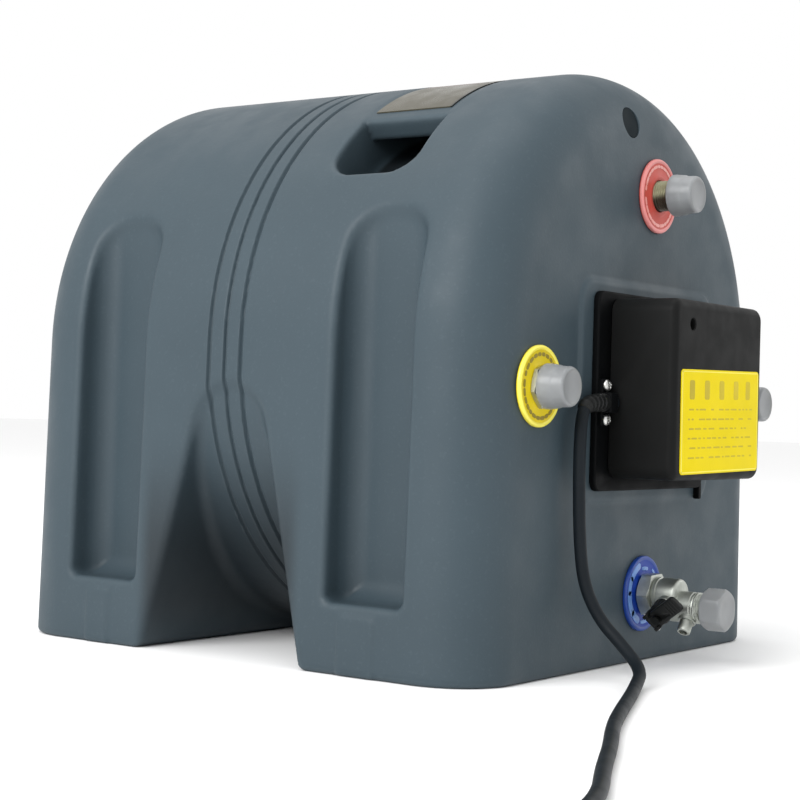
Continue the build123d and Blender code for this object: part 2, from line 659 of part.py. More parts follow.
# ---------------------------------------------------------------- plate on the carry bridge
with BuildPart() as handle_plate:
    pa = math.radians(33.5)
    r0, r1 = BRIDGE_R[1], BRIDGE_R[1] + 0.9
    with BuildSketch(front(HANDLE_Y[0] + 2.5, 0, ARCH_Z)):
        with BuildLine():
            ThreePointArc((-r0 * math.sin(pa), r0 * math.cos(pa)), (0, r0), (r0 * math.sin(pa), r0 * math.cos(pa)))
            Line((r0 * math.sin(pa), r0 * math.cos(pa)), (r1 * math.sin(pa), r1 * math.cos(pa)))
            ThreePointArc((r1 * math.sin(pa), r1 * math.cos(pa)), (0, r1), (-r1 * math.sin(pa), r1 * math.cos(pa)))
            Line((-r1 * math.sin(pa), r1 * math.cos(pa)), (-r0 * math.sin(pa), r0 * math.cos(pa)))
        make_face()
    extrude(amount=-(HANDLE_Y[1] - HANDLE_Y[0] - 5))
finish("handle_plate", handle_plate.part)

# ---------------------------------------------------------------- control box
BXC, BZC = (BOX_X0 + BOX_X1) / 2, (BOX_Z0 + BOX_Z1) / 2
CXC, CZC = (COV_X0 + COV_X1) / 2, (COV_Z0 + COV_Z1) / 2
CW, CH = COV_X1 - COV_X0, COV_Z1 - COV_Z0
CLAMP_Z = 174.5
CORD_DEPTH = -10.5          # the cord's centre line in front of the face where it leaves the box
SCREW_POS = (-31.5, 227.0)
with BuildPart() as box_base:
    with BuildSketch(front(BOX_D0, BXC, BZC)):
        RectangleRounded(BOX_X1 - BOX_X0, BOX_Z1 - BOX_Z0, 7)
    extrude(amount=BOX_D0 - BOX_D1)
    # wall that the cover slips over
    with BuildSketch(front(BOX_D1, CXC, CZC)):
        RectangleRounded(CW - 2 * COV_T - 0.6, CH - 2 * COV_T - 0.6, 6.5)
        RectangleRounded(CW - 2 * COV_T - 4.2, CH - 2 * COV_T - 4.2, 5.0, mode=Mode.SUBTRACT)
    extrude(amount=9.0)
    # cover latch under the lower right corner
    with BuildSketch(front(BOX_D0, BOX_X1 - 3.0, BOX_Z0 - 2.0)):
        RectangleRounded(4.0, 12.0, 1.2)
    extrude(amount=BOX_D0 - BOX_D1)
    # boss for the cover screw
    with BuildSketch(front(BOX_D1, SCREW_POS[0], SCREW_POS[1])):
        Circle(4.5)
    extrude(amount=34.0)
    # opening over the element terminals
    with BuildSketch(front(BOX_D0, TANK_X, TANK_Z)):
        Circle(40)
    extrude(amount=BOX_D0 - BOX_D1, mode=Mode.SUBTRACT)
    with BuildSketch(front(BOX_D1 - 35, SCREW_POS[0], SCREW_POS[1])):
        Circle(1.6)
    extrude(amount=-26.0, mode=Mode.SUBTRACT)
    # notch for the cord
    with BuildSketch(Plane(origin=(COV_X0 - 4, Y(CORD_DEPTH), CLAMP_Z), x_dir=(0, 1, 0), z_dir=(1, 0, 0))):
        Circle(CORD_R + 0.2)
    extrude(amount=14.0, mode=Mode.SUBTRACT)
finish("box_base", box_base.part)

with BuildPart() as box_gasket:
    with BuildSketch(front(0, TANK_X, TANK_Z)):
        Circle(59.5)
        Circle(52.0, mode=Mode.SUBTRACT)
    extrude(amount=2.0)
finish("box_gasket", box_gasket.part)

with BuildPart() as box_cover:
    with BuildSketch(front(BOX_D1 - 0.4, CXC, CZC)):
        RectangleRounded(CW, CH, 9)
    extrude(amount=BOX_D1 - 0.4 - COV_D)
    fillet(box_cover.faces().sort_by(Axis.Y)[0].edges(), 6.0)
    with BuildPart(mode=Mode.PRIVATE) as inside:
        with BuildSketch(front(BOX_D1 - 0.4, CXC, CZC)):
            RectangleRounded(CW - 2 * COV_T, CH - 2 * COV_T, 6.8)
        extrude(amount=BOX_D1 - 0.4 - COV_D - COV_T)
    add(inside.part, mode=Mode.SUBTRACT)
    # screw tube
    with BuildSketch(front(COV_D + COV_T, SCREW_POS[0], SCREW_POS[1])):
        Circle(5.5)
    extrude(amount=-10.2)
    with BuildSketch(front(COV_D, SCREW_POS[0], SCREW_POS[1])):
        Circle(3.9)
    extrude(amount=-9.5, mode=Mode.SUBTRACT)
    with BuildSketch(front(COV_D, SCREW_POS[0], SCREW_POS[1])):
        Circle(2.0)
    extrude(amount=-14.5, mode=Mode.SUBTRACT)
    # notch for the cord
    with BuildSketch(Plane(origin=(COV_X0 - 1, Y(CORD_DEPTH + 1.6), CLAMP_Z), x_dir=(0, 1, 0), z_dir=(1, 0, 0))):
        Rectangle(12.0, 9.2)
    extrude(amount=6.0, mode=Mode.SUBTRACT)
finish("box_cover", box_cover.part)

with BuildPart() as cover_screw:
    with BuildSketch(front(COV_D + 9.5, SCREW_POS[0], SCREW_POS[1])):
        Circle(3.4)
    extrude(amount=2.4)
    with BuildSketch(front(COV_D + 9.5 + 20.0, SCREW_POS[0], SCREW_POS[1])):
        Circle(1.6)
    extrude(amount=20.0)
    with BuildSketch(front(COV_D + 7.1, SCREW_POS[0], SCREW_POS[1])):
        Rectangle(4.6, 0.9)
        Rectangle(0.9, 4.6)
    extrude(amount=-1.3, mode=Mode.SUBTRACT)
finish("cover_screw", cover_screw.part)

with BuildPart() as yellow_plate:
    with BuildSketch(Plane(origin=(12.0, Y(COV_D), 164.5), x_dir=(math.cos(math.radians(1)), 0, math.sin(math.radians(1))), z_dir=(0, -1, 0))):
        RectangleRounded(118.0, 68.0, 3.0)
    extrude(amount=0.6)
finish("yellow_plate", yellow_plate.part)

# cord clamp on the base, left of the cover: a bridge over the cord with a low ear above and below
CLAMP_X, CLAMP_W = -65.3, 10.4
CLAMP_X0 = CLAMP_X - CLAMP_W / 2
EAR_D = BOX_D1 - 3.2
with BuildPart() as cord_clamp:
    with BuildSketch(front(BOX_D1, CLAMP_X, CLAMP_Z)):
        RectangleRounded(CLAMP_W, 31.0, 2.0)
    extrude(amount=BOX_D1 - EAR_D)
    with BuildSketch(front(BOX_D1, CLAMP_X, CLAMP_Z)):
        RectangleRounded(CLAMP_W, 13.0, 1.6)
    extrude(amount=9.6)
    with BuildSketch(Plane(origin=(CLAMP_X0 - 4, Y(CORD_DEPTH), CLAMP_Z), x_dir=(0, 1, 0), z_dir=(1, 0, 0))):
        Circle(CORD_R)
        with Locations((CORD_R, 0)):
            Rectangle(2 * CORD_R, 2 * CORD_R)
    extrude(amount=20, mode=Mode.SUBTRACT)
    for s in (-1, 1):
        with BuildSketch(front(BOX_D1, CLAMP_X, CLAMP_Z + s * 11.0)):
            Circle(1.7)
        extrude(amount=12, mode=Mode.SUBTRACT)
finish("cord_clamp", cord_clamp.part)

with BuildPart() as clamp_screws:
    for s in (-1, 1):
        with BuildSketch(front(EAR_D, CLAMP_X, CLAMP_Z + s * 11.0)):
            Circle(4.1)
        extrude(amount=2.8)
        with BuildSketch(front(BOX_D1, CLAMP_X, CLAMP_Z + s * 11.0)):
            Circle(1.7)
        extrude(amount=BOX_D1 - EAR_D)
    tops = clamp_screws.faces().filter_by(Axis.Y).group_by(Axis.Y)[0]
    fillet(tops.edges(), 1.6)
finish("clamp_screws", clamp_screws.part)

# the cord's end inside the clamp and the box
with BuildPart() as cord_tail:
    with BuildSketch(Plane(origin=(CLAMP_X0, Y(CORD_DEPTH), CLAMP_Z), x_dir=(0, 1, 0), z_dir=(1, 0, 0))):
        Circle(CORD_R)
    extrude(amount=-45.0 - CLAMP_X0)
finish("cord_tail", cord_tail.part)

with BuildPart() as terminal_block:
    with BuildSketch(front(BOX_D1, -24.0, 141.0)):
        RectangleRounded(34.0, 16.0, 1.5)
    extrude(amount=14.0)
    for k in (-1, 0, 1):
        with BuildSketch(front(BOX_D1 - 14.0, -24.0 + 10.5 * k, 141.0)):
            Circle(2.4)
        extrude(amount=-8.0, mode=Mode.SUBTRACT)
finish("terminal_block", terminal_block.part)

with BuildPart() as terminal_screws:
    for k in (-1, 0, 1):
        with BuildSketch(front(BOX_D1 - 6.0, -24.0 + 10.5 * k, 141.0)):
            Circle(2.2)
        extrude(amount=5.0)
finish("terminal_screws", terminal_screws.part)

with BuildPart() as earth_stud:
    with BuildSketch(front(BOX_D1, 58.0, 141.0)):
        Circle(2.5)
    extrude(amount=14.0)
    with BuildSketch(front(BOX_D1, 58.0, 141.0)):
        RegularPolygon(4.5, 6, major_radius=False)
    extrude(amount=4.0)
finish("earth_stud", earth_stud.part)

with BuildPart() as thermostat_body:
    with BuildSketch(front(BOX_D1, -33.0, 209.0)):
        RectangleRounded(30.0, 22.0, 2.0)
    extrude(amount=26.0)
    with BuildSketch(front(BOX_D1 - 26.0, -33.0, 209.0)):
        Circle(6.0)
    extrude(amount=5.0)
finish("thermostat_body", thermostat_body.part)

CUT = (52.0, 208.0)
with BuildPart() as thermal_cutout:
    with BuildSketch(front(BOX_D1, CUT[0], CUT[1])):
        Circle(10.0)
    extrude(amount=14.0)
    with BuildSketch(front(BOX_D1 - 14.0, CUT[0], CUT[1])):
        Circle(5.0)
    extrude(amount=4.0)
    with BuildSketch(front(BOX_D1 - 18.0, CUT[0], CUT[1])):
        Circle(2.55)
    extrude(amount=-8.0, mode=Mode.SUBTRACT)
    for s in (-1, 1):
        with BuildSketch(front(BOX_D1, CUT[0] + s * 12.0, CUT[1])):
            Rectangle(5.0, 6.3)
        extrude(amount=1.2)
finish("thermal_cutout", thermal_cutout.part)

with BuildPart() as reset_button:
    with BuildSketch(front(BOX_D1 - 14.0, CUT[0], CUT[1])):
        Circle(2.5)
    extrude(amount=7.0)
    chamfer(reset_button.faces().sort_by(Axis.Y)[0].edges(), 0.5)
finish("reset_button", reset_button.part)

with BuildPart() as reset_spring:
    with BuildSketch(front(BOX_D1 - 10.1, CUT[0], CUT[1])):
        Circle(2.2)
        Circle(1.6, mode=Mode.SUBTRACT)
    extrude(amount=3.8)
finish("reset_spring", reset_spring.part)

WIRES = {
    "live_wire": [(-45.0, -9.3, 176.7), (-37.0, -9.3, 176.7), (-37.0, -24.0, 181.0), (-44.0, -27.0, 164.0), (-35.5, -24.0, 150.5)],
    "neutral_wire": [(-45.0, -9.3, 172.3), (-39.0, -9.3, 172.3), (-33.0, -20.0, 168.0), (-26.0, -24.0, 160.0), (-24.0, -24.0, 150.5)],
    "earth_wire": [(-45.0, -12.9, 174.5), (-41.0, -12.9, 174.5), (-26.0, -40.0, 176.0), (30.0, -40.0, 160.0), (58.0, -36.0, 146.0), (58.0, -22.0, 141.0)],
}
for name, pts in WIRES.items():
    pts = [(x, Y(d), z) for x, d, z in pts]
    with BuildPart() as wire:
        with BuildLine() as run:
            FilletPolyline(*pts, radius=2.4)
        start = Vector(*pts[1]) - Vector(*pts[0])
        with BuildSketch(Plane(origin=pts[0], z_dir=start)):
            Circle(1.25)
        sweep(path=run.wires()[0])
    finish(name, wire.part)

# ---------------------------------------------------------------- power cord
ROUTE = [
    (-70.5, -10.5, 174.5), (-89.0, -10.5, 174.5), (-97.5, -10.6, 168.5), (-99.5, -10.4, 146.0), (-98.0, -10.2, 112.0),
    (-96.0, -10.8, 82.0), (-93.0, -13.0, 58.0), (-88.0, -22.0, 37.4), (-87.5, -37.8, 23.2), (-96.2, -56.8, 10.0),
    (-121.0, -65.6, 4.0), (-161.0, -83.0, 4.0), (-208.5, -102.6, 4.0), (-257.0, -124.0, 4.0), (-308.0, -150.5, 4.0),
    (-360.0, -175.0, 4.0), (-412.0, -203.5, 4.0), (-463.0, -221.0, 4.0), (-513.0, -245.0, 4.0),
]
ROUTE = [(x, Y(d), z) for x, d, z in ROUTE]


def arc_radii(pts):
    out = []
    for a, b, c in zip(pts, pts[1:], pts[2:]):
        u, v = Vector(*b) - Vector(*a), Vector(*c) - Vector(*b)
        half = math.radians(u.get_angle(v)) / 2
        out.append(0.45 * min(u.length, v.length) / math.tan(half))
    return out


radii = arc_radii(ROUTE)
print("cord arcs", [round(r, 1) for r in radii])
with BuildPart() as power_cord:
    with BuildLine() as route:
        FilletPolyline(*ROUTE, radius=radii)
    with BuildSketch(Plane(origin=ROUTE[0], x_dir=(0, 1, 0), z_dir=(-1, 0, 0))):
        Circle(CORD_R)
    sweep(path=route.wires()[0])
cord_len = route.wires()[0].length
print("cord tube length", round(cord_len, 1), "volume ratio", power_cord.part.volume / (math.pi * CORD_R**2 * cord_len))
finish("power_cord", power_cord.part)

# put-away coil on the floor, closed outer shape, with the short end that runs into the plug beside it
END = Vector(*ROUTE[-1])
HEAD = (END - Vector(*ROUTE[-2])).normalized()
COIL_MID_R = 40.0
COIL_SIDE = Vector(HEAD.Y, -HEAD.X, 0)
COIL_C = END + HEAD * 3.0 - COIL_SIDE * COIL_MID_R
AWAY = Vector(-0.715, -0.699, 0)
ALONG = Vector(0.699, -0.715, 0)
PLUG_REAR = Vector(COIL_C.X, COIL_C.Y, 13.0) + AWAY * 49.0 + ALONG * 24.0
pl = Plane(origin=PLUG_REAR, x_dir=AWAY, z_dir=ALONG)
LAST_TURN = Vector(COIL_C.X, COIL_C.Y, 12.0) + AWAY * (COIL_MID_R + 3.5) - ALONG * 2.0
with BuildPart() as cord_coil:
    with BuildSketch(Plane.XY):
        with Locations((COIL_C.X, COIL_C.Y)):
            Circle(COIL_MID_R + CORD_D)
            Circle(COIL_MID_R - CORD_D, mode=Mode.SUBTRACT)
    extrude(amount=2 * CORD_D)
    chamfer(cord_coil.edges().filter_by(GeomType.CIRCLE), 2.5)
    with BuildSketch(Plane(origin=LAST_TURN, z_dir=PLUG_REAR - LAST_TURN)):
        Circle(CORD_R)
    extrude(amount=(PLUG_REAR - LAST_TURN).length + 1.5)
    with BuildSketch(pl):
        Rectangle(12.0, 12.0)
    extrude(amount=4.0, mode=Mode.SUBTRACT)
    with BuildSketch(Plane(origin=END - HEAD * 34.0, z_dir=HEAD)):
        Circle(CORD_R + 0.2)
    extrude(amount=34.2, mode=Mode.SUBTRACT)
finish("cord_coil", cord_coil.part)
print("coil centre", COIL_C, "head", HEAD)

# mains plug lying on the floor beside the coil
with BuildPart() as mains_plug:
    with BuildSketch(pl):
        Circle(6.5)
    with BuildSketch(pl.offset(18.0)):
        RectangleRounded(30.0, 22.0, 8.0)
    loft()
    with BuildSketch(pl.offset(18.0)):
        RectangleRounded(36.0, 26.0, 9.0)
    extrude(amount=22.0)
finish("mains_plug", mains_plug.part)

with BuildPart() as plug_pins:
    for k in (-1, 1):
        with BuildSketch(pl.offset(40.0)):
            with Locations((k * 9.5, 0)):
                Circle(2.4)
        extrude(amount=19.0)
finish("plug_pins", plug_pins.part)
print("plug rear", PLUG_REAR)
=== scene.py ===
import math
import random
import bpy
import bmesh
import numpy as np
from mathutils import Matrix, Vector, Quaternion


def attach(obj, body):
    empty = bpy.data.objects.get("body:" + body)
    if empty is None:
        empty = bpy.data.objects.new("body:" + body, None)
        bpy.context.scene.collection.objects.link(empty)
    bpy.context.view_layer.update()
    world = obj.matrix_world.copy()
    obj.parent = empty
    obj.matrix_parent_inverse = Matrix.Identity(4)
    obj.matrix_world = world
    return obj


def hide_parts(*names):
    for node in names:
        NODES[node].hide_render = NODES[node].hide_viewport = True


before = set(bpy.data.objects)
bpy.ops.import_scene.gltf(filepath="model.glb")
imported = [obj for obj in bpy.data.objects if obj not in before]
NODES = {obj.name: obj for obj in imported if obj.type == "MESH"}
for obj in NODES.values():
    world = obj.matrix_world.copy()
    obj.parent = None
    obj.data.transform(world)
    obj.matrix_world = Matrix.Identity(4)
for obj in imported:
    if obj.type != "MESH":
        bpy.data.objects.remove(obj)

random.seed(7)
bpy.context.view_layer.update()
MM = 0.001
YF = -165.0                      # the front face's plane, mm


# ------------------------------------------------------------------ camera
def make_camera():
    a, th, rho = math.radians(54.06), math.radians(1.24), math.radians(1.76)
    f = Vector((math.sin(a) * math.cos(th), math.cos(a) * math.cos(th), math.sin(th)))
    r0 = Vector((math.cos(a), -math.sin(a), 0.0))
    u0 = r0.cross(f)
    r = math.cos(rho) * r0 + math.sin(rho) * u0
    u = -math.sin(rho) * r0 + math.cos(rho) * u0
    data = bpy.data.cameras.new("camera")
    cam = bpy.data.objects.new("camera", data)
    bpy.context.scene.collection.objects.link(cam)
    m = Matrix((r, u, -f)).transposed().to_4x4()
    m.translation = Vector((-1.09699, -0.74061, 0.16534))
    cam.matrix_world = m
    data.sensor_width = 36.0
    data.sensor_fit = "HORIZONTAL"
    data.lens = 1809.07 * 36.0 / 800.0
    data.shift_x = 21.35 / 800.0
    data.shift_y = -29.32 / 800.0
    data.clip_start, data.clip_end = 0.05, 50.0
    bpy.context.scene.camera = cam
    return cam


make_camera()


# ------------------------------------------------------------------ node helpers for materials
class Mat:
    """A procedural material built on one Principled shader."""

    def __init__(self, name, color, rough=0.5, metal=0.0, **inputs):
        self.m = bpy.data.materials.new(name)
        self.m.use_nodes = True
        self.nt = self.m.node_tree
        self.bsdf = self.nt.nodes["Principled BSDF"]
        self.bsdf.inputs["Base Color"].default_value = (*color, 1.0)
        self.bsdf.inputs["Roughness"].default_value = rough
        self.bsdf.inputs["Metallic"].default_value = metal
        for k, v in inputs.items():
            self.bsdf.inputs[k.replace("_", " ")].default_value = v
        self.m.diffuse_color = (*color, 1.0)
        self.coord = self.nt.nodes.new("ShaderNodeTexCoord")
        self.color = color

    def node(self, kind, **props):
        n = self.nt.nodes.new(kind)
        for k, v in props.items():
            setattr(n, k, v)
        return n

    def link(self, a, b):
        self.nt.links.new(a, b)

    def mapped(self, scale=(1, 1, 1)):
        mp = self.node("ShaderNodeMapping")
        mp.inputs["Scale"].default_value = scale
        self.link(self.coord.outputs["Object"], mp.inputs["Vector"])
        return mp.outputs["Vector"]

    def noise(self, scale, detail=3.0, rough=0.5, stretch=(1, 1, 1)):
        n = self.node("ShaderNodeTexNoise")
        n.inputs["Scale"].default_value = scale
        n.inputs["Detail"].default_value = detail
        n.inputs["Roughness"].default_value = rough
        self.link(self.mapped(stretch), n.inputs["Vector"])
        return n.outputs["Fac"]

    def ramp(self, fac, stops):
        r = self.node("ShaderNodeValToRGB")
        el = r.color_ramp.elements
        while len(el) < len(stops):
            el.new(0.5)
        for e, (p, c) in zip(el, stops):
            e.position = p
            e.color = (*c, 1.0) if len(c) == 3 else c
        self.link(fac, r.inputs["Fac"])
        return r.outputs["Color"]

    def math(self, op, a, b=None, clamp=False):
        n = self.node("ShaderNodeMath", operation=op, use_clamp=clamp)
        for i, v in enumerate((a, b)):
            if v is None:
                continue
            if isinstance(v, (int, float)):
                n.inputs[i].default_value = v
            else:
                self.link(v, n.inputs[i])
        return n.outputs[0]

    def maprange(self, v, lo, hi, to_lo=0.0, to_hi=1.0, smooth=True):
        n = self.node("ShaderNodeMapRange", clamp=True)
        n.interpolation_type = "SMOOTHSTEP" if smooth else "LINEAR"
        n.inputs["From Min"].default_value = lo
        n.inputs["From Max"].default_value = hi
        n.inputs["To Min"].default_value = to_lo
        n.inputs["To Max"].default_value = to_hi
        self.link(v, n.inputs["Value"])
        return n.outputs[0]

    def mix(self, fac, a, b, blend="MIX"):
        n = self.node("ShaderNodeMix", data_type="RGBA", blend_type=blend)
        for sock, v in ((n.inputs[0], fac), (n.inputs[6], a), (n.inputs[7], b)):
            if isinstance(v, (int, float)):
                sock.default_value = v
            elif isinstance(v, tuple):
                sock.default_value = (*v, 1.0) if len(v) == 3 else v
            else:
                self.link(v, sock)
        return n.outputs[2]

    def base(self, out):
        self.link(out, self.bsdf.inputs["Base Color"])

    def roughness(self, fac, lo, hi):
        self.link(self.maprange(fac, 0.3, 0.7, lo, hi), self.bsdf.inputs["Roughness"])

    def bump(self, height, strength, distance):
        b = self.node("ShaderNodeBump")
        b.inputs["Strength"].default_value = strength
        b.inputs["Distance"].default_value = distance
        self.link(height, b.inputs["Height"])
        self.link(b.outputs["Normal"], self.bsdf.inputs["Normal"])

    def pointiness(self):
        g = self.node("ShaderNodeNewGeometry")
        return g.outputs["Pointiness"]

    def obj_xyz(self):
        s = self.node("ShaderNodeSeparateXYZ")
        self.link(self.coord.outputs["Object"], s.inputs[0])
        return s.outputs[0], s.outputs[1], s.outputs[2]


def tint(c, k):
    return tuple(max(0.0, min(1.0, v * k)) for v in c)


def plastic(name, color, rough=0.45, grain=900.0, bump=0.15, var=0.12, **kw):
    m = Mat(name, color, rough, **kw)
    big = m.noise(14.0, 4.0)
    m.base(m.ramp(big, [(0.3, tint(color, 1 - var)), (0.7, tint(color, 1 + var))]))
    fine = m.noise(grain, 2.0)
    m.roughness(m.noise(60.0, 3.0), rough - 0.05, rough + 0.07)
    m.bump(fine, bump, 0.0002)
    return m.m


def metal(name, color, rough=0.3, stretch=(1, 1, 1), var=0.1, bump=0.08, **kw):
    m = Mat(name, color, rough, 1.0, **kw)
    n = m.noise(220.0, 4.0, 0.6, stretch)
    m.base(m.ramp(n, [(0.3, tint(color, 1 - var)), (0.7, tint(color, 1 + var))]))
    m.roughness(m.noise(90.0, 3.0, 0.5, stretch), max(0.05, rough - 0.08), rough + 0.1)
    m.bump(m.noise(900.0, 2.0, 0.5, stretch), bump, 0.0001)
    return m.m


# ------------------------------------------------------------------ mesh helpers
def mesh_object(name, verts, faces, mat, sharp=38.0, normals=None):
    me = bpy.data.meshes.new(name)
    me.from_pydata([tuple(float(c) for c in v) for v in verts], [], [tuple(int(i) for i in f) for f in faces])
    me.validate()
    me.update()
    return wrap(name, me, mat, sharp)


def wrap(name, me, mat, sharp=38.0):
    ob = bpy.data.objects.new(name, me)
    bpy.context.scene.collection.objects.link(ob)
    if mat is not None:
        me.materials.append(mat)
    bm = bmesh.new()
    bm.from_mesh(me)
    bmesh.ops.recalc_face_normals(bm, faces=bm.faces[:])
    lim = math.radians(sharp)
    for f in bm.faces:
        f.smooth = True
    for e in bm.edges:
        if len(e.link_faces) == 2:
            e.smooth = e.calc_face_angle(0.0) < lim
        else:
            e.smooth = False
    bm.to_mesh(me)
    bm.free()
    return ob


def joined(name, objs):
    """One object from several; each keeps its materials."""
    bm = bmesh.new()
    mats, sharp = [], []
    for o in objs:
        remap = []
        for m in o.data.materials:
            if m not in mats:
                mats.append(m)
            remap.append(mats.index(m))
        me = o.data.copy()
        me.transform(o.matrix_world)
        n0 = len(bm.faces)
        bm.from_mesh(me)
        bm.faces.ensure_lookup_table()
        for f in bm.faces[n0:]:
            f.material_index = remap[f.material_index] if remap else 0
        bpy.data.meshes.remove(me)
    out = bpy.data.meshes.new(name)
    bm.to_mesh(out)
    bm.free()
    for m in mats:
        out.materials.append(m)
    for o in objs:
        old = o.data
        bpy.data.objects.remove(o)
        bpy.data.meshes.remove(old)
    ob = bpy.data.objects.new(name, out)
    bpy.context.scene.collection.objects.link(ob)
    return ob


def basis(axis, ref=None):
    w = Vector(axis).normalized()
    if ref is None:
        ref = Vector((0, 0, 1)) if abs(w.z) < 0.9 else Vector((1, 0, 0))
    u = (Vector(ref) - w * w.dot(Vector(ref))).normalized()
    v = w.cross(u)
    return u, v, w


def rounded(profile, r, n=4, closed=False):
    """The polyline (or loop) with its corners rounded; r is one radius or one per point."""
    pts = [Vector((p[0], p[1])) for p in profile]
    k = len(pts)
    out = []
    for i, p in enumerate(pts):
        ri = r[i] if isinstance(r, (list, tuple)) else r
        if (not closed and i in (0, k - 1)) or ri <= 0:
            out.append((p.x, p.y))
            continue
        a, b = pts[(i - 1) % k] - p, pts[(i + 1) % k] - p
        la, lb = a.length, b.length
        if la < 1e-9 or lb < 1e-9:
            out.append((p.x, p.y))
            continue
        ang = a.angle(b)
        if ang > math.radians(176):
            out.append((p.x, p.y))
            continue
        t = min(ri / math.tan(ang / 2), 0.49 * la, 0.49 * lb)
        rad = t * math.tan(ang / 2)
        bis = (a / la + b / lb).normalized()
        c = p + bis * (rad / math.sin(ang / 2))
        s0, s1 = p + a / la * t - c, p + b / lb * t - c
        sweep = s0.angle_signed(s1)
        for j in range(n + 1):
            q = s0.copy()
            q.rotate(Matrix.Rotation(0, 2))
            w = -sweep * j / n
            q = Vector((s0.x * math.cos(w) - s0.y * math.sin(w), s0.x * math.sin(w) + s0.y * math.cos(w)))
            out.append((c.x + q.x, c.y + q.y))
    return out


def lathe(name, origin, axis, profile, mat, seg=72, sharp=38.0, ref=None, radius_fn=None):
    """Turned piece. profile is a closed loop or an open line from axis to axis, of (radius, height) in mm."""
    u, v, w = basis(axis, ref)
    o = Vector(origin)
    loop = profile[0][0] > 1e-6 or profile[-1][0] > 1e-6
    verts, faces, rings = [], [], []
    for r, h in profile:
        if r < 1e-6:
            rings.append([len(verts)])
            verts.append(o + w * h)
            continue
        ring = []
        for i in range(seg):
            t = 2 * math.pi * i / seg
            rr = radius_fn(r, h, t) if radius_fn else r
            ring.append(len(verts))
            verts.append(o + w * h + (u * math.cos(t) + v * math.sin(t)) * rr)
        rings.append(ring)
    n = len(rings)
    for i in range(n if loop else n - 1):
        a, b = rings[i], rings[(i + 1) % n]
        for j in range(seg):
            k = (j + 1) % seg
            if len(a) == 1 and len(b) == 1:
                continue
            if len(a) == 1:
                faces.append((a[0], b[k], b[j]))
            elif len(b) == 1:
                faces.append((a[j], a[k], b[0]))
            else:
                faces.append((a[j], a[k], b[k], b[j]))
    return mesh_object(name, [p * MM for p in verts], faces, mat, sharp)


def hexagon(af, phase=0.0, sides=6, limit=1e9):
    """Radius function of a polygon across flats af, its corners cut at limit."""
    def fn(r, h, t):
        s = 2 * math.pi / sides
        q = ((t + phase) % s) - s / 2
        return min(af / 2 / math.cos(q), limit, 1e9) * (r / (af / 2))
    return fn


def rrect(w, h, r, n=6):
    """Rounded rectangle, counter-clockwise."""
    r = max(0.01, min(r, w / 2 - 0.01, h / 2 - 0.01))
    pts = []
    for cx, cy, a0 in ((w / 2 - r, h / 2 - r, 0), (-w / 2 + r, h / 2 - r, 90), (-w / 2 + r, -h / 2 + r, 180), (w / 2 - r, -h / 2 + r, 270)):
        for i in range(n + 1):
            a = math.radians(a0 + 90 * i / n)
            pts.append((cx + r * math.cos(a), cy + r * math.sin(a)))
    return pts


def loft(name, place, rings, mat, cap_start=True, cap_end=True, closed=False, sharp=38.0):
    """Skin over rings of equal point counts; place maps (x, y, h) to a point in mm."""
    verts, faces = [], []
    n = len(rings[0][0])
    for pts, h in rings:
        for x, y in pts:
            verts.append(Vector(place(x, y, h)) * MM)
    m = len(rings)
    for i in range(m if closed else m - 1):
        a, b = i * n, ((i + 1) % m) * n
        for j in range(n):
            k = (j + 1) % n
            faces.append((a + j, a + k, b + k, b + j))
    if not closed and cap_start:
        faces.append(tuple(range(n - 1, -1, -1)))
    if not closed and cap_end:
        faces.append(tuple(range((m - 1) * n, m * n)))
    return mesh_object(name, verts, faces, mat, sharp)


def face_place(x0, z0, ang=0.0):
    """Maps local (x, y, h) to the front face: x right, y up, h out of the face, from the front plane."""
    c, s = math.cos(ang), math.sin(ang)
    return lambda x, y, h: (x0 + x * c - y * s, YF - h, z0 + x * s + y * c)


def pillow_box(name, place, w, h, rc, bottom, top, fillet, mat, bottom_fillet=0.6, steps=6, draft=0.0, sharp=60.0):
    """Solid plate with rounded corners; its top edge has a fillet."""
    rings = []
    for i in range(3):
        a = math.pi / 2 * i / 2
        e = bottom_fillet * (1 - math.sin(a))
        rings.append((rrect(w - 2 * e, h - 2 * e, rc - e * 0.5), bottom + bottom_fillet * (1 - math.cos(a))))
    hh = top - fillet
    if draft:
        rings.append((rrect(w - 2 * draft, h - 2 * draft, rc - draft), hh))
    for i in range(0 if not draft else 1, steps + 1):
        a = math.pi / 2 * i / steps
        e = fillet * (1 - math.cos(a)) + draft
        rings.append((rrect(w - 2 * e, h - 2 * e, max(0.4, rc - e)), hh + fillet * math.sin(a)))
    e = fillet + draft
    rings.append((rrect(w - 2 * e - 1.2, h - 2 * e - 1.2, max(0.3, rc - e - 0.6)), top))
    first = rings[0]
    rings.insert(0, (rrect(w - 2 * bottom_fillet - 1.2, h - 2 * bottom_fillet - 1.2, max(0.3, rc - 1.2)), first[1]))
    return loft(name, place, rings, mat, sharp=sharp)


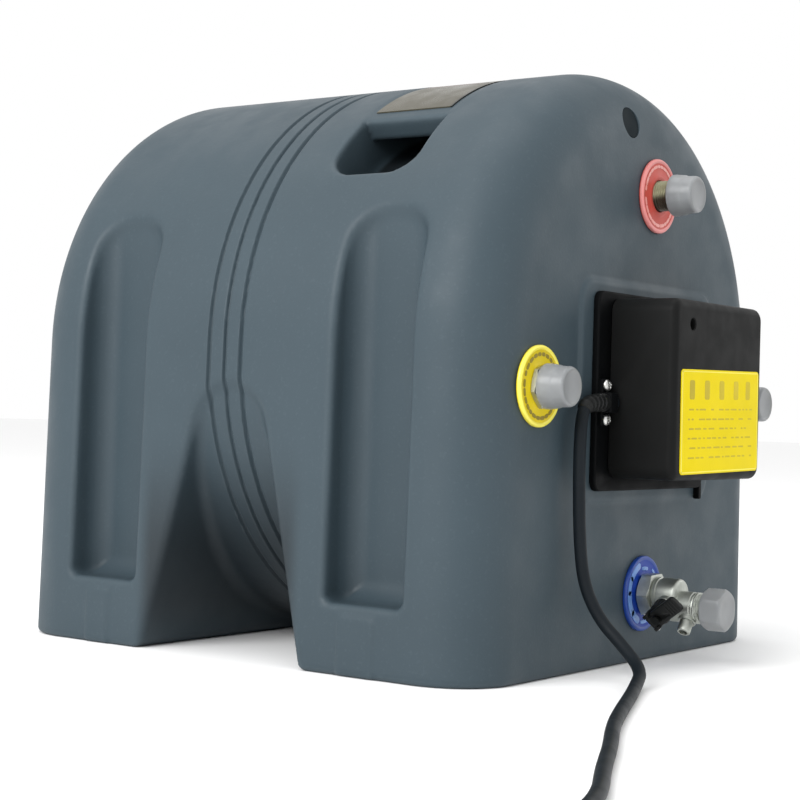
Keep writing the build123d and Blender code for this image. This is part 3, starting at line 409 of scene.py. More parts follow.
# ------------------------------------------------------------------ materials
def casing_material():
    base = (0.0372, 0.0562, 0.0690)
    m = Mat("casing_plastic", base, 0.5)
    m.bsdf.inputs["Specular IOR Level"].default_value = 0.28
    cloud = m.noise(7.0, 5.0, 0.55)
    col = m.ramp(cloud, [(0.28, tint(base, 0.93)), (0.5, base), (0.74, tint(base, 1.07))])
    speck = m.noise(420.0, 2.0)
    col = m.mix(m.maprange(speck, 0.56, 0.74, 0.0, 0.22), col, (0.062, 0.087, 0.101))
    pt = m.pointiness()
    col = m.mix(m.maprange(pt, 0.515, 0.56, 0.0, 0.35), col, (0.070, 0.096, 0.112))
    # painted shade: concave creases and inner corners darkened
    col = m.mix(m.maprange(pt, 0.485, 0.44, 0.0, 0.45), col, (0.020, 0.032, 0.040))
    scuff = m.noise(38.0, 6.0, 0.7, (1.0, 0.35, 1.0))
    col = m.mix(m.maprange(scuff, 0.62, 0.8, 0.0, 0.18), col, (0.062, 0.082, 0.094))
    # no light reaches the bottom of the carry recess
    x, y, z = m.obj_xyz()
    rr = m.math("SQRT", m.math("ADD", m.math("MULTIPLY", x, x), m.math("POWER", m.math("SUBTRACT", z, 0.204), 2.0)))
    deep = m.maprange(rr, 0.181, 0.172, 0.0, 1.0)
    inside = m.math("MULTIPLY", m.maprange(y, -0.0785, -0.0765, 0.0, 1.0), m.maprange(y, -0.0135, -0.0155, 0.0, 1.0))
    high = m.maprange(z, 0.296, 0.302, 0.0, 1.0)
    # nor much between the feet, under the round belly
    gap = m.math("MULTIPLY", m.maprange(y, -0.034, -0.020, 0.0, 1.0), m.maprange(y, 0.108, 0.094, 0.0, 1.0))
    gap = m.math("MULTIPLY", gap, m.maprange(z, 0.150, 0.060, 0.0, 0.68))
    col = m.mix(gap, col, (0.008, 0.010, 0.012))
    col = m.mix(m.math("MULTIPLY", m.math("MULTIPLY", deep, inside), m.math("MULTIPLY", high, 0.86)), col, (0.004, 0.005, 0.006))
    m.base(col)
    m.roughness(m.noise(30.0, 4.0), 0.44, 0.58)
    h = m.math("ADD", m.math("MULTIPLY", m.noise(520.0, 3.0), 0.6), m.math("MULTIPLY", m.noise(45.0, 2.0), 1.6))
    m.bump(h, 0.22, 0.0005)
    return m.m


def disc_material(name, color, dark):
    m = Mat(name, color, 0.38)
    m.bsdf.inputs["Specular IOR Level"].default_value = 0.2
    n = m.noise(60.0, 4.0)
    col = m.ramp(n, [(0.3, tint(color, 0.93)), (0.7, tint(color, 1.05))])
    dirt = m.noise(160.0, 5.0, 0.7)
    col = m.mix(m.maprange(dirt, 0.6, 0.78, 0.0, 0.35), col, dark)
    m.base(col)
    m.roughness(m.noise(90.0), 0.3, 0.46)
    m.bump(m.noise(500.0), 0.1, 0.0002)
    return m.m


def cap_material():
    c = (0.385, 0.400, 0.412)
    m = Mat("cap_plastic", c, 0.38)
    m.bsdf.inputs["IOR"].default_value = 1.45
    m.bsdf.inputs["Transmission Weight"].default_value = 0.5
    m.bsdf.inputs["Subsurface Weight"].default_value = 0.25
    m.bsdf.inputs["Subsurface Radius"].default_value = (0.004, 0.004, 0.004)
    m.base(m.ramp(m.noise(80.0, 4.0), [(0.3, tint(c, 0.92)), (0.7, tint(c, 1.06))]))
    m.roughness(m.noise(140.0), 0.28, 0.42)
    m.bump(m.noise(400.0, 3.0), 0.12, 0.0002)
    return m.m


def label_material():
    c = (0.72, 0.57, 0.002)
    m = Mat("yellow_film", c, 0.42)
    m.bsdf.inputs["Specular IOR Level"].default_value = 0.05
    m.base(m.ramp(m.noise(26.0, 4.0), [(0.3, tint(c, 0.95)), (0.7, tint(c, 1.03))]))
    m.roughness(m.noise(70.0), 0.36, 0.5)
    m.bump(m.noise(180.0, 3.0), 0.06, 0.0002)
    return m.m


def plate_material():
    c = (0.060, 0.055, 0.038)
    m = Mat("plate_plastic", c, 0.36)
    m.bsdf.inputs["Specular IOR Level"].default_value = 0.24
    x, y, z = m.obj_xyz()
    # khaki at its low end, a reddish brown patch in the middle, grey at the far end
    col = m.ramp(m.noise(16.0, 4.0), [(0.3, tint(c, 0.9)), (0.7, tint(c, 1.12))])
    patch = m.math("MULTIPLY", m.maprange(x, -0.062, -0.044, 0.0, 1.0), m.maprange(x, 0.016, -0.006, 0.0, 1.0))
    patch = m.math("MULTIPLY", patch, m.maprange(y, -0.064, -0.056, 0.0, 1.0))
    patch = m.math("MULTIPLY", patch, m.maprange(m.noise(22.0, 3.0), 0.3, 0.5, 0.45, 0.85))
    col = m.mix(patch, col, (0.082, 0.027, 0.020))
    col = m.mix(m.maprange(x, 0.01, 0.06, 0.0, 0.8), col, (0.050, 0.055, 0.054))
    # painted shadow line: a strip along the plate's front edge darkened
    edge = m.maprange(y, -0.0745, -0.0758, 0.0, 0.8)
    col = m.mix(edge, col, (0.012, 0.013, 0.013))
    m.base(col)
    m.roughness(m.noise(60.0), 0.24, 0.38)
    m.bump(m.noise(300.0), 0.06, 0.0002)
    return m.m


def foam_material():
    c = (0.78, 0.66, 0.40)
    m = Mat("rigid_foam", c, 0.9)
    v = m.node("ShaderNodeTexVoronoi")
    v.inputs["Scale"].default_value = 420.0
    m.link(m.coord.outputs["Object"], v.inputs["Vector"])
    m.base(m.ramp(m.noise(30.0, 5.0), [(0.3, tint(c, 0.86)), (0.7, tint(c, 1.08))]))
    m.bump(v.outputs["Distance"], 0.5, 0.0008)
    return m.m


def stripe_wire(name, a, b):
    m = Mat(name, a, 0.42)
    x, y, z = m.obj_xyz()
    s = m.math("SINE", m.math("MULTIPLY", m.math("ADD", x, m.math("MULTIPLY", z, 0.7)), 900.0))
    m.base(m.mix(m.maprange(s, -0.15, 0.15), a, b))
    m.bump(m.noise(700.0), 0.08, 0.0001)
    return m.m


def aged_brass():
    a, b = (0.30, 0.295, 0.19), (0.030, 0.018, 0.013)
    m = Mat("aged_brass", a, 0.5)
    m.bsdf.inputs["Metallic"].default_value = 0.55
    x, y, z = m.obj_xyz()
    # painted shade: the pipe is darkened to near-black from just under its axis downwards, standing in for shade on its
    # underside; the olive above is the aged brass
    painted_shade_below = m.maprange(m.math("ADD", z, m.math("MULTIPLY", m.noise(60.0, 3.0), 0.004)), 0.3205, 0.3155, 0.0, 0.92)
    col = m.mix(painted_shade_below, m.ramp(m.noise(70.0, 4.0), [(0.3, tint(a, 0.85)), (0.7, tint(a, 1.1))]), b)
    m.base(col)
    m.roughness(m.noise(120.0), 0.42, 0.58)
    m.bump(m.noise(500.0), 0.1, 0.0002)
    return m.m


M = {
    "casing": casing_material(),
    "red": disc_material("red_disc", (0.53, 0.078, 0.060), (0.30, 0.03, 0.02)),
    "blue": disc_material("blue_disc", (0.009, 0.045, 0.32), (0.008, 0.018, 0.09)),
    "yellow": disc_material("yellow_disc", (0.70, 0.54, 0.012), (0.42, 0.28, 0.02)),
    "red_mark": plastic("red_disc_mark", (0.72, 0.30, 0.27), 0.4),
    "blue_mark": plastic("blue_disc_mark", (0.13, 0.26, 0.58), 0.4),
    "yellow_mark": plastic("yellow_disc_mark", (0.25, 0.19, 0.012), 0.4),
    "red_rim": plastic("red_disc_rim", (0.66, 0.22, 0.21), 0.4),
    "blue_rim": plastic("blue_disc_rim", (0.012, 0.052, 0.28), 0.4),
    "yellow_rim": plastic("yellow_disc_rim", (0.86, 0.76, 0.09), 0.35),
    "cap": cap_material(),
    "label": label_material(),
    "label_line": plastic("label_line", (0.46, 0.36, 0.012), 0.5, var=0.2, Specular_IOR_Level=0.2),
    "label_edge": plastic("label_edge", (0.78, 0.70, 0.10), 0.45, Specular_IOR_Level=0.2),
    "plate": plate_material(),
    "foam": foam_material(),
    "box": plastic("box_plastic", (0.0082, 0.0085, 0.0085), 0.5, grain=700.0, bump=0.2, var=0.1, Specular_IOR_Level=0.07),
    "box_side": plastic("box_base_plastic", (0.0032, 0.0036, 0.0040), 0.52, grain=700.0, bump=0.2, var=0.1, Specular_IOR_Level=0.05),
    "black": plastic("black_plastic", (0.0065, 0.0072, 0.0072), 0.46, grain=900.0, bump=0.12, Specular_IOR_Level=0.25),
    "dark": plastic("dark_plastic", (0.0070, 0.0120, 0.0150), 0.6, grain=900.0, Specular_IOR_Level=0.06),
    "cord": plastic("cord_rubber", (0.0070, 0.0100, 0.0130), 0.52, grain=1500.0, bump=0.2, Specular_IOR_Level=0.14),
    "white": plastic("white_plastic", (0.72, 0.72, 0.69), 0.5),
    "bakelite": plastic("bakelite", (0.035, 0.026, 0.022), 0.32, grain=600.0),
    "button": plastic("reset_button_plastic", (0.62, 0.05, 0.04), 0.35),
    "rubber": plastic("seal_rubber", (0.018, 0.018, 0.018), 0.75, grain=900.0, bump=0.3),
    "nickel": metal("nickel", (0.43, 0.45, 0.415), 0.46, var=0.1),
    "steel": metal("stainless", (0.62, 0.63, 0.64), 0.33, stretch=(1, 12, 1)),
    "zinc": metal("zinc_steel", (0.66, 0.66, 0.64), 0.3),
    "darksteel": metal("dark_steel", (0.022, 0.024, 0.024), 0.45),
    "spring": metal("spring_steel", (0.55, 0.56, 0.57), 0.28),
    "sheath": metal("element_sheath", (0.30, 0.27, 0.23), 0.42, var=0.25),
    "brass": metal("brass", (0.68, 0.50, 0.22), 0.3),
    "aged_brass_shaded": aged_brass(),
    "copper": metal("copper", (0.66, 0.33, 0.20), 0.3),
    "brown_wire": plastic("brown_wire", (0.16, 0.06, 0.025), 0.42),
    "blue_wire": plastic("blue_wire", (0.03, 0.12, 0.50), 0.42),
    "earth_wire": stripe_wire("earth_wire", (0.06, 0.34, 0.04), (0.75, 0.65, 0.03)),
}

NODE_MATERIAL = {
    "casing": "casing", "foam_insulation": "foam", "tank_shell": "steel", "tank_front_end": "steel", "tank_rear_end": "steel", "tank_flange_neck": "steel",
    "flange_gasket": "rubber", "element_flange": "steel", "flange_bolts": "zinc", "heating_elements": "sheath", "element_terminals": "brass",
    "thermowell": "steel", "thermostat_bulb": "copper", "heat_exchanger_tube": "steel", "cold_diffuser": "white", "hot_pickup_tube": "white",
    "hot_nipple": "aged_brass_shaded", "cold_nipple": "nickel", "side_nipples": "nickel", "hot_rosette": "red", "cold_rosette": "blue", "side_rosettes": "yellow",
    "side_port_nuts": "nickel", "hot_cap": "cap", "left_cap": "cap", "right_cap": "cap", "cold_cap": "cap", "valve_body": "nickel",
    "check_poppet": "white", "check_spring": "spring", "relief_bonnet": "black", "relief_lever": "black", "lever_pin": "spring",
    "relief_spindle": "darksteel", "relief_spring": "spring", "foam_port_plug": "dark", "handle_plate": "plate", "box_base": "box_side",
    "box_gasket": "rubber", "box_cover": "box", "cover_screw": "darksteel", "yellow_plate": "label", "cord_clamp": "box_side", "clamp_screws": "zinc",
    "cord_tail": "cord", "terminal_block": "white", "terminal_screws": "zinc", "earth_stud": "brass", "thermostat_body": "bakelite",
    "thermal_cutout": "bakelite", "reset_button": "button", "reset_spring": "spring", "live_wire": "brown_wire", "neutral_wire": "blue_wire",
    "earth_wire": "earth_wire", "power_cord": "cord", "cord_coil": "cord", "mains_plug": "black", "plug_pins": "nickel",
}
for node, key in NODE_MATERIAL.items():
    ob = NODES[node]
    ob.data.materials.clear()
    ob.data.materials.append(M[key])
    for p in ob.data.polygons:
        p.material_index = 0


# ------------------------------------------------------------------ cord
ROUTE = [
    (-70.5, -10.5, 174.5), (-89.0, -10.5, 174.5), (-97.5, -10.6, 168.5), (-99.5, -10.4, 146.0), (-98.0, -10.2, 112.0),
    (-96.0, -10.8, 82.0), (-93.0, -13.0, 58.0), (-88.0, -22.0, 37.4), (-87.5, -37.8, 23.2), (-96.2, -56.8, 10.0),
    (-121.0, -65.6, 4.0), (-161.0, -83.0, 4.0), (-208.5, -102.6, 4.0), (-257.0, -124.0, 4.0), (-308.0, -150.5, 4.0),
    (-360.0, -175.0, 4.0), (-412.0, -203.5, 4.0), (-463.0, -221.0, 4.0), (-513.0, -245.0, 4.0),
]
route = [Vector((x, YF + d, z)) for x, d, z in ROUTE]
head = (route[-1] - route[-2]).normalized()
MID_R = 40.0
side = Vector((head.y, -head.x, 0))
coil_c = route[-1] + head * 3.0 - side * MID_R
coil_c.z = 0
start_a = math.atan2(side.y, side.x)
away = Vector((-0.715, -0.699, 0))
along = Vector((0.699, -0.715, 0))
plug_rear = Vector((coil_c.x, coil_c.y, 13.0)) + away * 49.0 + along * 24.0


# the first turns lie beside each other on the floor, the next ones on top of them
OUT_R, IN_R = 44.0, 35.9
TURNS = [(0.0, OUT_R, 4.0), (0.69, OUT_R, 4.0), (0.93, IN_R, 4.0), (1.50, IN_R, 4.0), (1.70, IN_R, 12.1), (2.24, IN_R, 12.1), (2.48, OUT_R, 12.1), (3.4, OUT_R, 12.1)]
PER = 18


def turn_at(t):
    for (t0, r0, z0), (t1, r1, z1) in zip(TURNS, TURNS[1:]):
        if t <= t1:
            k = (t - t0) / (t1 - t0)
            k = k * k * (3 - 2 * k)
            return r0 + (r1 - r0) * k, z0 + (z1 - z0) * k
    return TURNS[-1][1], TURNS[-1][2]


line = [p.copy() for p in route]
line[-1] += side * 4.2
line[-2] += side * 3.0
line[-3] += side * 1.2
k = 0
while True:
    t = 0.012 + k / PER
    if t > 3.27:
        break
    r, z = turn_at(t)
    a = start_a + 2 * math.pi * t
    rc = r / (0.5 + 0.5 * math.cos(math.pi / PER))
    line.append(Vector((coil_c.x + rc * math.cos(a), coil_c.y + rc * math.sin(a), z)))
    k += 1
for u, v, z in ((44.6, 3.0, 12.2), (46.4, 11.0, 12.6), (48.6, 18.5, 13.0), (49.0, 25.0, 13.0)):
    p = Vector((coil_c.x, coil_c.y, 0)) + away * u + along * v
    line.append(Vector((p.x, p.y, z)))

lead_data = bpy.data.curves.new("power_lead", "CURVE")
lead_data.dimensions = "3D"
sp = lead_data.splines.new("NURBS")
sp.points.add(len(line) - 1)
for q, p in zip(sp.points, line):
    q.co = (*(p * MM), 1.0)
sp.order_u = 3
sp.use_endpoint_u = True
sp.resolution_u = 10
power_lead = bpy.data.objects.new("power_lead", lead_data)
bpy.context.scene.collection.objects.link(power_lead)
bpy.context.view_layer.update()
thin = bpy.data.meshes.new_from_object(power_lead)
LEAD_LINE = [v.co.copy() for v in thin.vertices]
bpy.data.meshes.remove(thin)
lead_data.bevel_depth = 0.004
lead_data.bevel_resolution = 6
lead_data.use_fill_caps = True
lead_data.materials.append(M["cord"])
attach(power_lead, "boiler")
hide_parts("power_cord", "cord_coil")


def tube_along(name, pts, radius_at, mat, seg=32, sharp=38.0):
    """Closed tube along points in metres; radius_at gives mm for a distance in mm from the start."""
    verts, faces, s = [], [], 0.0
    prev = None
    u = None
    for i, p in enumerate(pts):
        if i:
            s += (p - pts[i - 1]).length * 1000
        d = (pts[min(i + 1, len(pts) - 1)] - pts[max(i - 1, 0)]).normalized()
        if u is None:
            u = Vector((0, 0, 1)) - d * d.z
            if u.length < 0.1:
                u = Vector((1, 0, 0)) - d * d.x
        u = (u - d * u.dot(d)).normalized()
        v = d.cross(u)
        r = radius_at(s) * MM
        for j in range(seg):
            a = 2 * math.pi * j / seg
            verts.append(p + (u * math.cos(a) + v * math.sin(a)) * r)
    n = len(pts)
    for i in range(n - 1):
        for j in range(seg):
            k2 = (j + 1) % seg
            faces.append((i * seg + j, i * seg + k2, (i + 1) * seg + k2, (i + 1) * seg + j))
    faces.append(tuple(range(seg - 1, -1, -1)))
    faces.append(tuple(range((n - 1) * seg, n * seg)))
    return mesh_object(name, verts, faces, mat, sharp)


def resample(pts, step):
    out, acc = [pts[0].copy()], 0.0
    for a, b in zip(pts, pts[1:]):
        l = (b - a).length
        while acc + l >= step:
            f = (step - acc) / l
            a = a + (b - a) * f
            out.append(a.copy())
            l = (b - a).length
            acc = 0.0
        acc += l
    return out


# tapered sleeve where the cord leaves the clamp, with its grip rings
fine = resample(LEAD_LINE, 0.0005)


def sleeve_r(s):
    base = 5.9 - 1.15 * min(1.0, s / 26.0)
    ring = 0.42 * max(0.0, math.sin(2 * math.pi * (s - 4.0) / 4.4)) if 4.0 < s < 24.0 else 0.0
    end = max(0.0, (s - 25.0) / 1.0) ** 2 * 0.7
    return base + ring - end


cord_sleeve = tube_along("cord_sleeve", fine[:53], sleeve_r, M["black"], 40, 50.0)
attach(cord_sleeve, "boiler")


# ------------------------------------------------------------------ mains plug
def plug_place(x, y, h):
    p = plug_rear + away * x + along * h
    return (p.x, p.y, 13.0 + y)


def plug_section(h):
    if h < 18:
        k = h / 18.0
        w, t, r = 13.0 + 17.0 * k ** 1.3, 13.0 + 9.0 * k, 6.4 + 1.6 * k
    else:
        k = min(1.0, (h - 18) / 5.0)
        k = k * k * (3 - 2 * k)
        w, t, r = 30 + 6 * k, 22 + 4 * k, 8.0 + 1.0 * k
        if 24 < h < 35:
            w -= 0.9 * (0.5 - 0.5 * math.cos(2 * math.pi * (h - 24) / 2.75))
        if h > 38.6:
            e = 1.4 - math.sqrt(max(0.0, 1.4 ** 2 - (h - 38.6) ** 2))
            w, t = w - 2 * e, t - 2 * e
    if 3 < h < 15:
        e = 0.55 * max(0.0, math.sin(2 * math.pi * (h - 3) / 3.0))
        w, t = w - 2 * e, t - 2 * e
    return rrect(w, t, r)


hs = [0.0] + [0.5 * i for i in range(1, 77)] + [38.6, 39.0, 39.4, 39.7, 39.9, 40.0]
plug_body = loft("lead_plug", plug_place, [(plug_section(h), h) for h in hs], M["black"], sharp=50.0)
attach(plug_body, "boiler")
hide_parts("mains_plug")
pins = []
for s in (-1, 1):
    o = plug_rear + away * (9.5 * s) + along * 39.0
    o.z = 13.0
    pins.append(lathe("pin%d" % (s + 1), o, along, [(0, 0), (2.4, 0), (2.4, 18.6), (2.1, 19.3), (1.4, 19.8), (0, 20.0)], M["nickel"], 36))
plug_prongs = joined("lead_plug_pins", pins)
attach(plug_prongs, "boiler")
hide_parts("plug_pins")


# ------------------------------------------------------------------ casing: one rotomoulded skin
ARCH_R, ARCH_Z = 196.0, 204.0
LEAN = 0.01944
LENGTH = 391.0
GROOVES = [202.6 - 13.46, 202.6, 202.6 + 13.46]


def rmax(a, b, r):
    """Intersection of two fields with a round edge of radius r."""
    u, v = np.maximum(a + r, 0), np.maximum(b + r, 0)
    return np.minimum(np.maximum(a, b), -r) + np.sqrt(u * u + v * v)


def rmin(a, b, r):
    return -rmax(-a, -b, r)


def step01(v, a, b):
    k = np.clip((v - a) / (b - a), 0, 1)
    return k * k * (3 - 2 * k)


def rrect_field(x, z, cx, cz, w, h, r):
    qx, qz = np.abs(x - cx) - (w / 2 - r), np.abs(z - cz) - (h / 2 - r)
    return np.sqrt(np.maximum(qx, 0) ** 2 + np.maximum(qz, 0) ** 2) + np.minimum(np.maximum(qx, qz), 0) - r


TAN_X, TAN_Z = ARCH_R * math.cos(math.atan(LEAN)), ARCH_Z + ARCH_R * math.sin(math.atan(LEAN))
NL = math.sqrt(1 + LEAN * LEAN)


def casing_field(x, d, z, bridge=True):
    ax = np.abs(x)
    zz = z - ARCH_Z
    rc = np.sqrt(x * x + zz * zz)
    groove = 0.0
    for g in GROOVES:
        groove = groove + step01(np.abs(d - g), 2.3, 0.75)
    arch = rc - ARCH_R
    flank = (ax - 200.0 + LEAN * z) / NL
    below = ((TAN_X - ax) * -LEAN + (TAN_Z - z)) > 0
    prof = np.where(below, flank, arch)
    # low raised pads on the feet
    pad = 0.0
    for d0, d1 in ((72.5, 101.6), (296.5, 318.5)):
        pad = pad + step01(d, d0 - 0.2, d0 + 1.6) * step01(d, d1 + 0.2, d1 - 1.6)
    pad = pad * step01(z, 38.2, 36.2)
    prof = prof + 2.4 * groove - 1.15 * pad
    # raised pad under the control box
    rise = 2.0 * step01(rrect_field(x, z, 8.5, 182.0, 191.0, 148.0, 16.0), 0.0, -3.0)
    out = rmax(prof, np.maximum(-(d + rise), d - LENGTH), 45.0)
    out = rmax(out, -z, 4.0)
    # gap between the feet and the round belly in it
    gf = (132.9 + 0.2314 * z - d) / math.sqrt(1 + 0.2314 ** 2)
    gr = (d - 268.3 + 0.2639 * z) / math.sqrt(1 + 0.2639 ** 2)
    gap = rmax(np.maximum(gf, gr), z - 180.0, 22.0)
    belly = arch + 2.4 * groove
    out = rmax(out, rmin(-gap, belly, 7.0), 6.5)
    # side recesses
    for d0, d1 in ((54.0, 113.5), (275.5, 335.5)):
        q = rmax(np.maximum(d0 - d, d - d1), z - 300.0, 26.0)
        q = rmax(q, 44.5 - z, 6.0)
        rec = rmax(q, 171.0 - ax, 15.0)
        out = rmax(out, -rec, 4.5)
    # carry recess over the top with its bridge
    ha, hb = math.radians(54.0), math.radians(37.0)
    end = ax * math.cos(ha) - zz * math.sin(ha)
    walls = rmax(np.maximum(86.0 - d, d - 152.0), end, 19.0)
    pocket = rmax(walls, 157.0 - rc, 8.0)
    out = rmax(out, -pocket, 3.2)
    if bridge:
        bar = rmax(rmax(rc - 195.0, 179.5 - rc, 2.6), ax * math.cos(hb) - zz * math.sin(hb), 3.2)
        bar = np.maximum(bar, np.maximum(84.0 - d, d - 154.0))
        bar = np.maximum(bar, -zz)
        out = rmin(out, bar, 2.0)
    return out


def inner_field(x, d, z):
    return casing_field(x, d, z, False) + 5.0


def surface_net(field, gx, gd, gz, steps=4):
    """Quads over the field's zero level, each corner moved onto it."""
    nx, nd, nz = len(gx), len(gd), len(gz)
    val = np.empty((nx, nd, nz), np.float32)
    for i0 in range(0, nx, 24):
        xs = gx[i0:i0 + 24]
        val[i0:i0 + 24] = field(xs[:, None, None], gd[None, :, None], gz[None, None, :])
    neg = val < 0
    c = neg.astype(np.int8)
    total = np.zeros((nx - 1, nd - 1, nz - 1), np.int8)
    for a in (0, 1):
        for b in (0, 1):
            for e in (0, 1):
                total += c[a:nx - 1 + a, b:nd - 1 + b, e:nz - 1 + e]
    active = (total > 0) & (total < 8)
    idx = np.full(active.shape, -1, np.int64)
    cells = np.argwhere(active)
    idx[active] = np.arange(len(cells))
    i, j, k = cells.T
    pos = np.zeros((len(cells), 3))
    cnt = np.zeros(len(cells))
    gs = (gx, gd, gz)
    for ax_ in range(3):
        others = [q for q in range(3) if q != ax_]
        for s0 in (0, 1):
            for s1 in (0, 1):
                o = [i.copy(), j.copy(), k.copy()]
                o[others[0]] = o[others[0]] + s0
                o[others[1]] = o[others[1]] + s1
                p = [q.copy() for q in o]
                p[ax_] = p[ax_] + 1
                va, vb = val[o[0], o[1], o[2]], val[p[0], p[1], p[2]]
                hit = (va < 0) != (vb < 0)
                t = np.where(hit, va / np.where(hit, va - vb, 1), 0)
                for q in range(3):
                    a0 = gs[q][o[q]]
                    if q == ax_:
                        a0 = a0 + t * (gs[q][p[q]] - a0)
                    pos[:, q] += np.where(hit, a0, 0)
                cnt += hit
    pos /= cnt[:, None]
    lim = np.array([1.2, 1.2, 1.2])
    for _ in range(steps):
        f0 = field(pos[:, 0], pos[:, 1], pos[:, 2])
        g = np.empty_like(pos)
        h = 0.02
        for q in range(3):
            a = pos.copy()
            b = pos.copy()
            a[:, q] += h
            b[:, q] -= h
            g[:, q] = (field(a[:, 0], a[:, 1], a[:, 2]) - field(b[:, 0], b[:, 1], b[:, 2])) / (2 * h)
        n2 = np.maximum((g * g).sum(1), 0.05)
        move = -(f0 / n2)[:, None] * g
        pos += np.clip(move, -lim, lim)
    faces = []
    for ax_ in range(3):
        a = [slice(0, None)] * 3
        b = [slice(0, None)] * 3
        a[ax_] = slice(0, -1)
        b[ax_] = slice(1, None)
        na, nb = neg[tuple(a)], neg[tuple(b)]
        o1, o2 = [q for q in range(3) if q != ax_]
        inner = [slice(None)] * 3
        inner[o1] = slice(1, -1)
        inner[o2] = slice(1, -1)
        cross = (na != nb)[tuple(inner)]
        e = np.argwhere(cross)
        e[:, o1] += 1
        e[:, o2] += 1
        first = na[e[:, 0], e[:, 1], e[:, 2]]
        quad = []
        for s0, s1 in ((-1, -1), (0, -1), (0, 0), (-1, 0)):
            q = e.copy()
            q[:, o1] += s0
            q[:, o2] += s1
            quad.append(idx[q[:, 0], q[:, 1], q[:, 2]])
        quad = np.stack(quad, 1)
        flip = ~first if ax_ != 1 else first
        quad[flip] = quad[flip][:, ::-1]
        faces.append(quad)
    return pos, np.concatenate(faces)


def mesh_from_arrays(name, verts, quads):
    me = bpy.data.meshes.new(name)
    me.vertices.add(len(verts))
    me.vertices.foreach_set("co", verts.astype(np.float32).ravel())
    me.loops.add(quads.size)
    me.loops.foreach_set("vertex_index", quads.astype(np.int32).ravel())
    me.polygons.add(len(quads))
    me.polygons.foreach_set("loop_start", np.arange(0, quads.size, 4, dtype=np.int32))
    me.polygons.foreach_set("use_smooth", np.ones(len(quads), bool))
    me.update(calc_edges=True)
    me.validate()
    return me


def to_world(p):
    q = np.empty_like(p)
    q[:, 0] = p[:, 0]
    q[:, 1] = YF + p[:, 1]
    q[:, 2] = p[:, 2]
    return q * MM


def spaced(lo, hi, step):
    n = int(math.ceil((hi - lo) / step))
    return lo + (hi - lo) * np.arange(n + 1) / n


STEP = 2.5
gx = spaced(-205.13, 205.13, STEP)
gz = spaced(-3.07, 404.1, STEP)
gd = np.concatenate([spaced(-5.3, 185.2, STEP)[:-1], spaced(185.2, 220.2, 0.55)[:-1], spaced(220.2, 395.3, STEP)])
ov, of_ = surface_net(casing_field, gx, gd, gz)
iv, if_ = surface_net(inner_field, spaced(-203.7, 203.7, 6.0), spaced(-2.2, 393.1, 6.0), spaced(-1.3, 402.6, 6.0))
cv = np.concatenate([to_world(ov), to_world(iv)])
cf = np.concatenate([of_, if_[:, ::-1] + len(ov)])
casing_me = mesh_from_arrays("casing_skin", cv, cf)
casing = bpy.data.objects.new("casing_skin", casing_me)
bpy.context.scene.collection.objects.link(casing)


def apply_boolean(target, cutter, op="DIFFERENCE", solver="MANIFOLD"):
    mod = target.modifiers.new("cut", "BOOLEAN")
    mod.operation = op
    mod.solver = solver
    mod.object = cutter
    bpy.context.view_layer.update()
    deps = bpy.context.evaluated_depsgraph_get()
    me = bpy.data.meshes.new_from_object(target.evaluated_get(deps))
    target.modifiers.clear()
    old = target.data
    name = old.name
    target.data = me
    bpy.data.meshes.remove(old)
    me.name = name
    cm = cutter.data
    bpy.data.objects.remove(cutter)
    bpy.data.meshes.remove(cm)
    return target


def cylinder(name, origin, axis, r, h, seg=96, chamfer=0.0):
    return lathe(name, origin, axis, [(0, 0), (r, 0), (r, h), (0, h)], None, seg)


def face_point(x, z, d=0.0):
    return (x, YF + d, z)


PORT = {"hot": (15.0, 317.4), "cold": (7.5, 46.4), "left": (-135.7, 183.0), "right": (145.0, 178.0)}
cutters = []
for nm, (px, pz) in PORT.items():
    cutters.append(cylinder("c_" + nm, face_point(px, pz, 12.0), (0, -1, 0), 11.4, 22.0, 64))
cutters.append(cylinder("c_flange", face_point(6.0, 182.0, 12.0), (0, -1, 0), 60.0, 22.0, 96))
# plug seat high on the rounded front edge
px, pz = -21.3, 363.4
pr = math.hypot(px, pz - ARCH_Z)
ps_ = (pr - (ARCH_R - 45.0)) / 45.0
pc_ = math.sqrt(1 - ps_ * ps_)
plug_n = Vector((px / pr * ps_, -pc_, (pz - ARCH_Z) / pr * ps_))
plug_o = Vector((px, YF + 45.0 * (1 - pc_), pz))
cutters.append(lathe("c_plug", plug_o - plug_n * 14.0, plug_n, [(0, 0), (9.0, 0), (9.0, 11.0), (10.7, 11.0), (10.7, 13.3), (11.6, 14.2), (11.6, 22.0), (0, 22.0)], None, 96))
for c in cutters:
    apply_boolean(casing, c)
casing.data.materials.clear()
casing.data.materials.append(M["casing"])
me = casing.data
me.polygons.foreach_set("use_smooth", np.ones(len(me.polygons), bool))
bm = bmesh.new()
bm.from_mesh(me)
bad = 0
for e in bm.edges:
    if len(e.link_faces) == 2:
        e.smooth = e.calc_face_angle(0.0) < math.radians(42)
    else:
        bad += 1
print("casing", len(bm.verts), "vertices", len(bm.faces), "faces", bad, "open edges", "volume l", round(bm.calc_volume() * 1000, 3))
bm.to_mesh(me)
bm.free()
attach(casing, "boiler")
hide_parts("casing")


# ------------------------------------------------------------------ pipe connections
def thread_r(crest, depth, pitch, h0, h1, fade=2.2):
    """Radius function of a helical thread between heights h0 and h1."""
    def fn(r, h, t):
        if r < crest - 0.9:
            return r
        ph = (h / pitch + t / (2 * math.pi)) % 1.0
        tri = 1 - abs(2 * ph - 1)
        tri = tri * tri * (3 - 2 * tri)
        k = min(1.0, max(0.0, (h - h0) / fade)) * min(1.0, max(0.0, (h1 - h) / fade))
        return r - depth * (1 - tri) * k
    return fn


